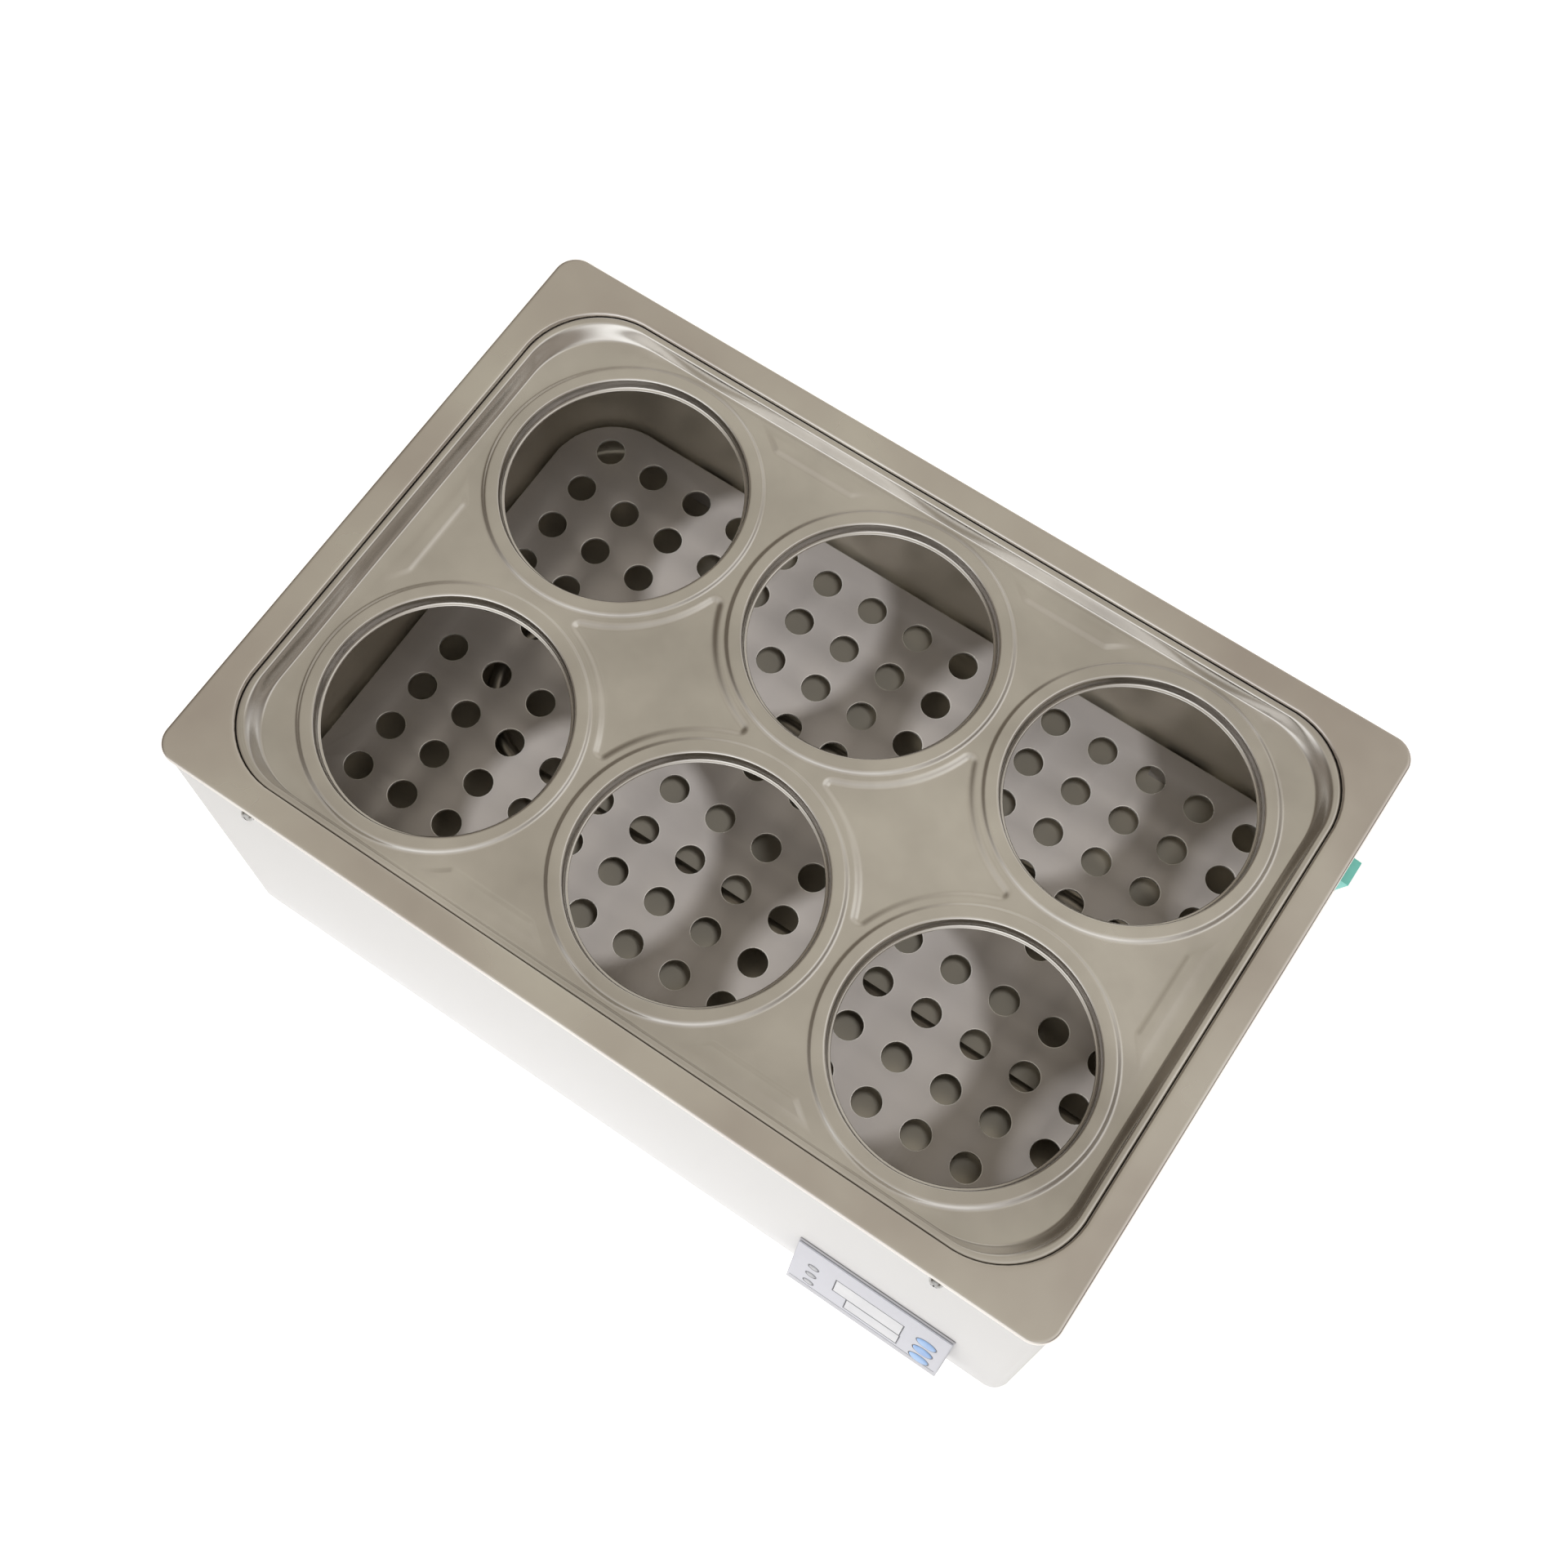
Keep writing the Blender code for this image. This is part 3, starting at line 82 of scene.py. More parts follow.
def surface(name, dark, light, rough, metal=0.0, grain=(30, 30, 30), relief=0.0, fine=900):
    """A procedural finish: soft noise shades colour and roughness, and a fine noise may raise a relief."""
    material = bpy.data.materials.new(name)
    material.use_nodes = True
    nodes = material.node_tree.nodes
    links = material.node_tree.links
    shader = nodes["Principled BSDF"]
    shader.inputs["Metallic"].default_value = metal
    where = nodes.new("ShaderNodeTexCoord")
    stretch = nodes.new("ShaderNodeMapping")
    stretch.inputs["Scale"].default_value = grain
    links.new(where.outputs["Object"], stretch.inputs["Vector"])
    clouds = nodes.new("ShaderNodeTexNoise")
    clouds.inputs["Scale"].default_value = 1.0
    clouds.inputs["Detail"].default_value = CLOUD_DETAIL
    links.new(stretch.outputs["Vector"], clouds.inputs["Vector"])
    tint = colour_ramp(nodes, ((CLOUD_LOW, dark), (CLOUD_HIGH, light)))
    links.new(clouds.outputs["Fac"], tint.inputs["Fac"])
    links.new(tint.outputs["Color"], shader.inputs["Base Color"])
    sheen = nodes.new("ShaderNodeMapRange")
    sheen.inputs["From Min"].default_value = CLOUD_LOW
    sheen.inputs["From Max"].default_value = CLOUD_HIGH
    sheen.inputs["To Min"].default_value = rough[0]
    sheen.inputs["To Max"].default_value = rough[1]
    links.new(clouds.outputs["Fac"], sheen.inputs["Value"])
    links.new(sheen.outputs["Result"], shader.inputs["Roughness"])
    if relief:
        texture = nodes.new("ShaderNodeTexNoise")
        texture.inputs["Scale"].default_value = fine
        texture.inputs["Detail"].default_value = RELIEF_DETAIL
        links.new(where.outputs["Object"], texture.inputs["Vector"])
        bump = nodes.new("ShaderNodeBump")
        bump.inputs["Strength"].default_value = RELIEF_STRENGTH
        bump.inputs["Distance"].default_value = relief
        links.new(texture.outputs["Fac"], bump.inputs["Height"])
        links.new(bump.outputs["Normal"], shader.inputs["Normal"])
    return material


def add_piece(name, bm, material, body, slot, *nodes, sharp=35):
    """Makes a piece from a mesh, lets it ride on a body, and shows it in place of those CAD nodes."""
    mesh = bpy.data.meshes.new(name)
    bm.to_mesh(mesh)
    bm.free()
    mesh.shade_smooth()
    mesh.set_sharp_from_angle(angle=math.radians(sharp))
    mesh.materials.append(material)
    piece = bpy.data.objects.new(name, mesh)
    bpy.context.scene.collection.objects.link(piece)
    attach(piece, body)
    if nodes:
        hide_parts(*nodes)
    return piece


def verts_in(geom):
    """The vertices among what an operator made."""
    return [g for g in geom if isinstance(g, bmesh.types.BMVert)]


def edges_in(geom):
    """The edges among what an operator made."""
    return [g for g in geom if isinstance(g, bmesh.types.BMEdge)]


def rounded_face(bm, length, width, corner, height, steps=14):
    """A flat rectangle with round corners, centred on the bath."""
    half_step = math.pi / (4 * steps)
    made = bmesh.ops.create_circle(
        bm,
        cap_ends=True,
        segments=4 * steps,
        radius=corner / math.cos(half_step),
        matrix=Matrix.Rotation(half_step, 4, "Z"),
    )
    ring = made["verts"]
    face = ring[0].link_faces[0]
    for side in (-1, 1):
        for end in (-1, 1):
            quarter = [v for v in ring if v.co.x * side > 0 and v.co.y * end > 0]
            out = (side * (length / 2 - corner), end * (width / 2 - corner), 0)
            bmesh.ops.translate(bm, verts=quarter, vec=out)
    bmesh.ops.translate(bm, verts=ring, vec=(CENTRE.x, CENTRE.y, height))
    return face


def sheet_rings(bm, sizes, closed):
    """Folds a sheet through rounded outlines, one after the other, and returns its last edge."""
    face = rounded_face(bm, *sizes[0])
    rim = list(face.edges)
    bmesh.ops.delete(bm, geom=[face], context="FACES_ONLY")
    for old, new in zip(sizes, sizes[1:] + sizes[:1] * closed):
        made = bmesh.ops.extrude_edge_only(bm, edges=rim)["geom"]
        fresh = set(verts_in(made))
        for v in fresh:
            side = math.copysign(1, v.co.x - CENTRE.x)
            end = math.copysign(1, v.co.y - CENTRE.y)
            old_middle = Vector((side * (old[0] / 2 - old[2]), end * (old[1] / 2 - old[2]), old[3]))
            new_middle = Vector((side * (new[0] / 2 - new[2]), end * (new[1] / 2 - new[2]), new[3]))
            v.co = CENTRE + new_middle + (v.co - CENTRE - old_middle) * (new[2] / old[2])
        rim = [e for e in edges_in(made) if fresh.issuperset(e.verts)]
    if closed:
        bmesh.ops.remove_doubles(bm, verts=bm.verts, dist=WELD)
    return rim


def wall_faces(bm, axis, level):
    """The flat faces of a wall that stands across an axis, on both sides of its sheet."""
    near = [f for f in bm.faces if abs(f.calc_center_median()[axis] - level) < 2 * CASE_SHEET]
    return [f for f in near if abs(f.normal[axis]) > SQUARE_ON]


def open_window(bm, axis, level, low, high):
    """Cuts a rectangular window through a wall and closes the sheet's edge round it."""
    sides = [side for side in range(3) if side != axis]
    for side in sides:
        for bound in (low[side], high[side]):
            wall = wall_faces(bm, axis, level)
            edges = {e for f in wall for e in f.edges}
            verts = {v for f in wall for v in f.verts}
            point = Vector((0, 0, 0))
            point[side] = bound
            normal = Vector((0, 0, 0))
            normal[side] = 1
            bmesh.ops.bisect_plane(bm, geom=[*wall, *edges, *verts], plane_co=point, plane_no=normal)
    inside = []
    for face in wall_faces(bm, axis, level):
        middle = face.calc_center_median()
        if all(low[side] < middle[side] < high[side] for side in sides):
            inside.append(face)
    bmesh.ops.delete(bm, geom=inside, context="FACES")
    bmesh.ops.bridge_loops(bm, edges=[e for e in bm.edges if e.is_boundary])


def inset_size(inset, height):
    """The case's outline this far in from its walls, at a height."""
    corner = max(CASE_CORNER - inset, CASE_LEAST_CORNER)
    return CASE_LENGTH - 2 * inset, CASE_WIDTH - 2 * inset, corner, height


bm = bmesh.new()
sheet_rings(
    bm,
    [
        inset_size(CASE_FLANGE, CASE_LOW.z),
        inset_size(CASE_FOLD, CASE_LOW.z),
        inset_size(CASE_FOLD_EASE, CASE_LOW.z + CASE_FOLD_EASE),
        inset_size(0, CASE_LOW.z + CASE_FOLD),
        inset_size(0, CASE_HIGH.z),
        inset_size(CASE_SHEET, CASE_HIGH.z),
        inset_size(CASE_SHEET, CASE_LOW.z + CASE_SHEET),
        inset_size(CASE_FLANGE, CASE_LOW.z + CASE_SHEET),
    ],
    closed=True,
)
bmesh.ops.recalc_face_normals(bm, faces=bm.faces)
low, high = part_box("console_shell")
margin = Vector((WINDOW_MARGIN, 0, WINDOW_MARGIN))
open_window(bm, 1, CASE_LOW.y + CASE_SHEET / 2, low + margin, high - margin)
low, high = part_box("switch_body")
margin = Vector((0, SOCKET_MARGIN, SOCKET_MARGIN))
open_window(bm, 0, CASE_HIGH.x - CASE_SHEET / 2, low + margin, high - margin)
bmesh.ops.recalc_face_normals(bm, faces=bm.faces)
powder_coat = surface(
    "powder_coat",
    dark=(0.65, 0.65, 0.655),
    light=(0.68, 0.68, 0.685),
    rough=(0.42, 0.50),
    grain=(9, 9, 9),
    relief=0.06 * MM,
    fine=700,
)
add_piece("housing", bm, powder_coat, "bath", "white_paint", "housing_shell")

# Feet
# Four turned feet of black rubber under the corners of the base. Each is held up against the base by a
# screw sunk in its hollow underside.
FOOT_TOP = 10.0 * MM
FOOT_TOE = 8.5 * MM
FOOT_BORE = 2.1 * MM
FOOT_POCKET = 4.8 * MM
FOOT_POCKET_DEPTH = 4.5 * MM
FOOT_ROUND = 0.8 * MM


def turned(bm, profile, place, steps=40, closed=True):
    """Spins a profile of (radius, height) points about its own upright axis, and puts it in place."""
    points = [bm.verts.new((radius, 0, height)) for radius, height in profile]
    pairs = list(zip(points, points[1:]))
    if closed:
        pairs.append((points[-1], points[0]))
    edges = [bm.edges.new(pair) for pair in pairs]
    bmesh.ops.spin(
        bm,
        geom=points + edges,
        axis=(0, 0, 1),
        cent=(0, 0, 0),
        angle=math.tau,
        steps=steps,
        use_merge=True,
    )
    front = list({v for e in edges for v in e.verts})
    reached = set(front)
    while front:
        front = list({w for v in front for e in v.link_edges for w in e.verts if w not in reached})
        reached.update(front)
    bmesh.ops.remove_doubles(bm, verts=list(reached), dist=WELD)
    bmesh.ops.transform(bm, matrix=place, verts=[v for v in reached if v.is_valid])


rubber = surface(
    "black_rubber",
    dark=(0.018, 0.018, 0.019),
    light=(0.032, 0.032, 0.033),
    rough=(0.62, 0.78),
    relief=0.08 * MM,
)
for number in range(1, 5):
    low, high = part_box(f"foot_{number}")
    top = high.z - low.z
    bm = bmesh.new()
    turned(
        bm,
        [
            (FOOT_BORE, top),
            (FOOT_TOP - FOOT_ROUND, top),
            (FOOT_TOP, top - FOOT_ROUND),
            (FOOT_TOE, FOOT_ROUND),
            (FOOT_TOE - FOOT_ROUND, 0),
            (FOOT_POCKET, 0),
            (FOOT_POCKET, FOOT_POCKET_DEPTH),
            (FOOT_BORE, FOOT_POCKET_DEPTH),
        ],
        Matrix.Translation(((low.x + high.x) / 2, (low.y + high.y) / 2, low.z)),
    )
    bmesh.ops.recalc_face_normals(bm, faces=bm.faces)
    add_piece(f"rubber_foot_{number}", bm, rubber, "bath", "rubber", f"foot_{number}")

# Tank
# A deep-drawn stainless tank that hangs by its flange under the deck's opening. Its mouth is flared for
# the lid, and its floor is rounded into the walls.
DECK_LOW, DECK_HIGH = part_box("top_deck")
DECK_TOP = DECK_HIGH.z
TANK = (457.0 * MM, 296.0 * MM, 40.0 * MM)
TANK_RIM = 3.3 * MM
TANK_MOUTH = 12.0 * MM
TANK_FLARE = 2.5 * MM
TANK_DEPTH = 128.0 * MM
TANK_FLANGE = 10.9 * MM
TANK_FLANGE_BEND = 1.2 * MM
TANK_FLANGE_DROP = 0.8 * MM
TANK_FLOOR_ROUND = 6.0 * MM
TANK_EASE = 2.0 * MM
TANK_SHEET = 0.9 * MM
TANK_SHADE_BAND = 1.0 * MM


def grown(size, margin, depth):
    """An outline this much larger all round, at a depth below the top of the deck."""
    length, width, corner = size
    return length + 2 * margin, width + 2 * margin, corner + margin, DECK_TOP - depth


def arc_steps(size, turn_in, depth, count=5):
    """Outlines that round off a floor: the wall's foot curves in by the given radius."""
    rings = []
    for step in range(1, count + 1):
        angle = math.pi / 2 * step / count
        inward = turn_in * (1 - math.cos(angle))
        lower = depth - turn_in * (1 - math.sin(angle))
        rings.append(grown(size, -inward, lower))
    return rings


def thickened(piece, sheet):
    """Gives a sheet its thickness on the side away from its normals."""
    solid = piece.modifiers.new("sheet", "SOLIDIFY")
    solid.thickness = sheet
    solid.offset = -1
    return piece


bm = bmesh.new()
rim = sheet_rings(
    bm,
    [
        grown(TANK, TANK_FLANGE, TANK_RIM),
        grown(TANK, TANK_FLARE + TANK_FLANGE_BEND, TANK_RIM),
        grown(TANK, TANK_FLARE, TANK_RIM + TANK_FLANGE_DROP),
        grown(TANK, 0, TANK_MOUTH),
        grown(TANK, 0, TANK_MOUTH + TANK_EASE),
        grown(TANK, 0, TANK_DEPTH - TANK_FLOOR_ROUND - TANK_EASE),
        grown(TANK, 0, TANK_DEPTH - TANK_FLOOR_ROUND),
        *arc_steps(TANK, TANK_FLOOR_ROUND, TANK_DEPTH),
        grown(TANK, -TANK_FLOOR_ROUND - TANK_EASE, TANK_DEPTH),
    ],
    closed=False,
)
tank_floor = bmesh.ops.edgeloop_fill(bm, edges=rim)["faces"]
bmesh.ops.recalc_face_normals(bm, faces=bm.faces)
if tank_floor[0].normal.z < 0:
    bmesh.ops.reverse_faces(bm, faces=bm.faces)
tank_steel = surface(
    "tank_steel",
    dark=(0.44, 0.405, 0.34),
    light=(0.54, 0.495, 0.415),
    rough=(0.28, 0.38),
    metal=0.6,
    grain=(5, 5, 18),
)
# Near-black painted shade for the shadowed gap round the lid, laid on the tank's flange.
painted_gap_shade = surface(
    "painted_gap_shade",
    dark=(0.020, 0.019, 0.017),
    light=(0.035, 0.033, 0.030),
    rough=(0.55, 0.65),
    grain=(40, 40, 40),
)
tank = thickened(add_piece("tank", bm, tank_steel, "bath", "stainless", "inner_tank"), TANK_SHEET)
tank.data.materials.append(painted_gap_shade)
# The faces just under the lid's rim take the painted shade.
for polygon in tank.data.polygons:
    if polygon.center.z > DECK_TOP - TANK_RIM - TANK_SHADE_BAND:
        polygon.material_index = 1

# Heating element
# A U-bent sheathed tube that stands just off the tank's floor. Both its ends leave the tank through the
# end wall.
low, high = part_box("heating_element")
TUBE = (high.z - low.z) / 2
TUBE_SPREAD = (high.y - low.y) / 2 - TUBE
TUBE_SIDES = 18
BEND_STEPS = 24
bend_x = low.x + TUBE + TUBE_SPREAD
axis_y = (low.y + high.y) / 2
axis_z = (low.z + high.z) / 2
bm = bmesh.new()
end_on = Matrix.Translation((high.x, axis_y - TUBE_SPREAD, axis_z)) @ Matrix.Rotation(math.pi / 2, 4, "Y")
start = bmesh.ops.create_circle(bm, cap_ends=True, segments=TUBE_SIDES, radius=TUBE, matrix=end_on)["verts"]
out = bmesh.ops.extrude_edge_only(bm, edges=list(start[0].link_faces[0].edges))["geom"]
bmesh.ops.translate(bm, verts=verts_in(out), vec=(bend_x - high.x, 0, 0))
bent = bmesh.ops.spin(
    bm,
    geom=[e for e in edges_in(out) if e.is_boundary],
    cent=(bend_x, axis_y, axis_z),
    axis=(0, 0, -1),
    angle=math.pi,
    steps=BEND_STEPS,
)["geom_last"]
out = bmesh.ops.extrude_edge_only(bm, edges=edges_in(bent))["geom"]
bmesh.ops.translate(bm, verts=verts_in(out), vec=(high.x - bend_x, 0, 0))
bmesh.ops.edgeloop_fill(bm, edges=[e for e in edges_in(out) if e.is_boundary])
bmesh.ops.remove_doubles(bm, verts=bm.verts, dist=WELD)
bmesh.ops.recalc_face_normals(bm, faces=bm.faces)
sheath = surface(
    "heater_sheath",
    dark=(0.20, 0.185, 0.16),
    light=(0.34, 0.31, 0.27),
    rough=(0.30, 0.42),
    metal=1,
    grain=(40, 40, 40),
)
add_piece("heater_tube", bm, sheath, "bath", "stainless", "heating_element")

# False bottom
# A loose perforated stainless sheet on four folded legs, laid over the heating element to carry the
# vessels. The punched holes leave a rounded rim, coloured lighter than the sheet as a painted highlight.
SHELF_LOW, SHELF_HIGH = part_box("false_bottom")
SHELF_SIZE = (SHELF_HIGH.x - SHELF_LOW.x, SHELF_HIGH.y - SHELF_LOW.y, 37.5 * MM)
SHELF_SHEET = 1.5 * MM
SHELF_EDGE = 0.4 * MM
SHELF_HOLE = 7.75 * MM
SHELF_COLUMNS = 15
SHELF_ROWS = 5
SHELF_PITCH = (28.7 * MM, 27.1 * MM)
SHELF_MIDDLE = 34.1 * MM
SHELF_BURR = 0.45 * MM
SHELF_BURR_EASE = 0.3 * SHELF_BURR
HOLE_SIDES = 24
LEG_SPAN = 300.0 * MM
LEG_WIDTH = 22.0 * MM
LEG_INSET = 6.0 * MM
RIM_LEAST_TILT = 0.1
RIM_MOST_TILT = 0.97

bm = bmesh.new()
hole_rim = [
    (SHELF_HOLE + SHELF_BURR, 0),
    (SHELF_HOLE + SHELF_BURR_EASE, -SHELF_BURR_EASE),
    (SHELF_HOLE, -SHELF_BURR),
    (SHELF_HOLE, -SHELF_SHEET),
]
for row in range(-SHELF_ROWS, SHELF_ROWS):
    y = (row + 0.5) * SHELF_PITCH[1] + math.copysign((SHELF_MIDDLE - SHELF_PITCH[1]) / 2, row + 0.5)
    for column in range(SHELF_COLUMNS):
        x = (column - (SHELF_COLUMNS - 1) / 2) * SHELF_PITCH[0]
        place = Matrix.Translation((CENTRE.x + x, CENTRE.y + y, SHELF_HIGH.z))
        turned(bm, hole_rim, place, steps=HOLE_SIDES, closed=False)
edge = [grown(SHELF_SIZE, 0, DECK_TOP - SHELF_HIGH.z + drop) for drop in (SHELF_EDGE, SHELF_SHEET)]
sheet_rings(bm, [grown(SHELF_SIZE, -SHELF_EDGE, DECK_TOP - SHELF_HIGH.z), *edge], closed=False)
for level in (SHELF_HIGH.z, SHELF_HIGH.z - SHELF_SHEET):
    rims = [e for e in bm.edges if e.is_boundary and abs(e.verts[0].co.z - level) < WELD]
    bmesh.ops.triangle_fill(bm, use_beauty=True, edges=rims, normal=(0, 0, 1))
bmesh.ops.recalc_face_normals(bm, faces=bm.faces)
for side in (-1, 1):
    for end in (-1, 1):
        leg = Vector((LEG_WIDTH, SHELF_SHEET, SHELF_HIGH.z - SHELF_SHEET - SHELF_LOW.z))
        reach = SHELF_SIZE[1] / 2 - LEG_INSET
        middle = CENTRE + Vector((side * LEG_SPAN / 2, end * reach, SHELF_LOW.z + leg.z / 2))
        bmesh.ops.create_cube(bm, size=1, matrix=Matrix.Translation(middle) @ Matrix.Diagonal((*leg, 1)))
shelf_steel = surface(
    "shelf_steel",
    dark=(0.45, 0.422, 0.408),
    light=(0.51, 0.478, 0.463),
    rough=(0.36, 0.44),
    metal=0.3,
    grain=(6, 30, 6),
)
shelf = add_piece("perforated_shelf", bm, shelf_steel, "shelf_body", "stainless", "false_bottom")
# A lighter, glossier steel on the rims' sloping faces: a painted highlight round each hole.
painted_rim_highlight = surface(
    "painted_rim_highlight",
    dark=(0.72, 0.70, 0.67),
    light=(0.84, 0.82, 0.79),
    rough=(0.22, 0.30),
    metal=0.5,
    grain=(60, 60, 60),
)
shelf.data.materials.append(painted_rim_highlight)
for polygon in shelf.data.polygons:
    if RIM_LEAST_TILT < polygon.normal.z < RIM_MOST_TILT:
        polygon.material_index = 1

# Deck
# One stainless pressing closes the top of the case. Its outer edge folds down over the housing, its
# opening is rolled under, and a hidden skirt inside the wall takes the four screws.
DECK = (DECK_HIGH.x - DECK_LOW.x, DECK_HIGH.y - DECK_LOW.y, 12.0 * MM)
OPENING = (464.3 * MM, 304.3 * MM, 44.1 * MM)
DECK_SHEET = 1.0 * MM
DECK_LIP = 2.5 * MM
DECK_LIP_SHEET = 1.2 * MM
DECK_ROLL = 1.4 * MM
DECK_ROLL_EASE = 1.2 * MM
DECK_ROLL_DROP = 3.0 * MM
DECK_ROLL_BACK = 2.2 * MM
SKIRT = -3.0 * MM
SKIRT_SHEET = 1.2 * MM
SKIRT_DROP = 16.0 * MM
# The outer fold, in millimetres in and down, and the roll of the opening, in shares of its radius.
DECK_FOLD = ((0.0, 1.2), (0.25, 0.45), (0.6, 0.15), (1.2, 0.0), (2.2, 0.0))
DECK_ROLL_ARC = ((1.0, 0.0), (0.55, 0.12), (0.22, 0.36), (0.04, 0.70))

bm = bmesh.new()
sheet_rings(
    bm,
    [
        grown(DECK, 0, DECK_LIP),
        *[grown(DECK, -inward * MM, depth * MM) for inward, depth in DECK_FOLD],
        grown(OPENING, DECK_ROLL + DECK_ROLL_EASE, 0),
        *[grown(OPENING, out * DECK_ROLL, down * DECK_ROLL) for out, down in DECK_ROLL_ARC],
        grown(OPENING, 0, DECK_ROLL_DROP),
        grown(OPENING, DECK_SHEET, DECK_ROLL_DROP),
        grown(OPENING, DECK_SHEET + DECK_ROLL_BACK, DECK_SHEET),
        grown(DECK, SKIRT - SKIRT_SHEET, DECK_SHEET),
        grown(DECK, SKIRT - SKIRT_SHEET, SKIRT_DROP),
        grown(DECK, SKIRT, SKIRT_DROP),
        grown(DECK, SKIRT, DECK_SHEET),
        grown(DECK, -DECK_LIP_SHEET, DECK_SHEET),
        grown(DECK, -DECK_LIP_SHEET, DECK_LIP),
    ],
    closed=True,
)
bmesh.ops.recalc_face_normals(bm, faces=bm.faces)
deck_steel = surface(
    "deck_steel",
    dark=(0.63, 0.585, 0.56),
    light=(0.83, 0.81, 0.765),
    rough=(0.20, 0.30),
    metal=1,
    grain=(9, 9, 9),
    relief=0.6 * MM,
    fine=9,
)
add_piece("deck", bm, deck_steel, "bath", "stainless", "top_deck", sharp=60)

# Lid
# A loose stainless pressing that drops into the deck's opening. A soft rim runs down to a flat panel with
# six holes, each with a raised collar and a lip turned down. Two star-shaped hollows are pressed between
# the collars, and six stiffening reliefs stand along the rim.
LID = (463.6 * MM, 303.6 * MM, 43.8 * MM)
LID_SHEET = 0.7 * MM
LID_PANEL = 9.8 * MM
LID_PITCH = 147.0 * MM
LID_SEAM = 20 * WELD
RIM_END_RUN = 5.8 * MM
RIM_SIDE_RUN = 3.0 * MM
RIM_FOOT_CORNER = 46.0 * MM
RIM_STEPS = 10
RIM_CORNER_STEPS = 24
COLLAR_FOOT = 71.9 * MM
COLLAR_SIDES = 96
STAR_REACH = 72.5 * MM
STAR_TIP = 5.6 * MM
STAR_TIP_FLAT = 0.6 * MM
STAR_DROP = 1.4 * MM
STAR_TIP_STEPS = 8
STAR_SIDE_STEPS = 16
RELIEF_LONG = 78.0 * MM
RELIEF_SHORT = 46.0 * MM
RELIEF_DEEP = 12.0 * MM
RELIEF_SIDE = 143.6 * MM
RELIEF_END = 217.4 * MM
RELIEF_RISE = 0.95 * MM
RELIEF_SLOPE = 3.6 * MM
RELIEF_BEND = 1.6 * MM
RELIEF_BEND_STEPS = 5
# The rolled edge of the rim, in millimetres in from the edge and down from the top of the deck.
RIM_EDGE = ((0.0, 3.0), (0.2, 2.4), (0.5, 2.1), (1.0, 2.0), (2.2, 2.0), (2.8, 2.05))
# A collar's section, as radius and height in millimetres: its foot, its flat top, its lip and the hem.
COLLAR_SLOPE = ((71.4, 0.0), (70.6, 0.15), (69.9, 0.6), (69.2, 1.05), (68.6, 1.2), (68.0, 1.2))
COLLAR_BEND = ((64.0, 1.2), (63.3, 1.15), (62.7, 0.85), (62.3, 0.3), (61.8, -3.6))
COLLAR_HEM = ((61.6, -4.5), (61.2, -5.1), (60.6, -5.4), (60.0, -5.5))
# The slopes of a hollow and of a relief, in shares of their width and of their height.
STAR_SLOPE = ((0.10, 0.0), (0.22, 0.14), (0.24, 0.36), (0.22, 0.36), (0.22, 0.14), (0.10, 0.0))
RELIEF_CREASE = ((0.06, 0.0), (0.16, 0.10), (0.36, 0.40), (0.36, 0.46), (0.06, 0.04))


def press(bm, face, section):
    """Presses a face in steps, each so far in from its edge and so far up or down."""
    for inward, rise in section:
        bmesh.ops.inset_region(
            bm, faces=[face], thickness=inward, depth=rise, use_even_offset=True, use_boundary=True
        )
    return face


def star_face(bm, centre):
    """The four-pointed outline that stays clear of the four collars round a centre, with rounded tips."""
    half = LID_PITCH / 2
    drop = math.sqrt((STAR_REACH + STAR_TIP) ** 2 - half**2)
    lean = math.atan2(drop, half)
    tip = Vector((0, half - drop, 0))
    bend = tip + Vector((STAR_TIP * math.cos(lean), STAR_TIP * math.sin(lean), 0))
    tip_arc = (tip, math.pi - 2 * lean, STAR_TIP_STEPS)
    side_arc = (Vector((-half, half, 0)), 2 * lean - math.pi / 2, STAR_SIDE_STEPS)
    last = bm.verts.new(centre + bend)
    for quarter in range(4):
        turn = Matrix.Rotation(quarter * math.pi / 2, 3, "Z")
        for pivot, angle, steps in (tip_arc, side_arc):
            swept = bmesh.ops.spin(
                bm, geom=[last], cent=centre + turn @ pivot, axis=(0, 0, 1), angle=angle, steps=steps
            )
            last = swept["geom_last"][0]
    bmesh.ops.remove_doubles(bm, verts=[v for v in bm.verts if v.is_wire], dist=10 * WELD)
    return bmesh.ops.edgeloop_fill(bm, edges=[e for e in bm.edges if e.is_wire])["faces"][0]


def relief_face(bm, place):
    """The trapezoid outline of a stiffening relief, its long side to the rim."""
    corners = (
        (-RELIEF_LONG / 2, 0, 0),
        (RELIEF_LONG / 2, 0, 0),
        (RELIEF_SHORT / 2, -RELIEF_DEEP, 0),
        (-RELIEF_SHORT / 2, -RELIEF_DEEP, 0),
    )
    before = set(bm.faces)
    ring = [bm.verts.new(place @ Vector(corner)) for corner in corners]
    bm.faces.new(reversed(ring))
    bmesh.ops.bevel(
        bm,
        geom=ring[2:],
        offset=RELIEF_BEND,
        offset_type="OFFSET",
        segments=RELIEF_BEND_STEPS,
        profile=0.5,
        affect="VERTICES",
        material=-1,
    )
    return next(f for f in bm.faces if f not in before)


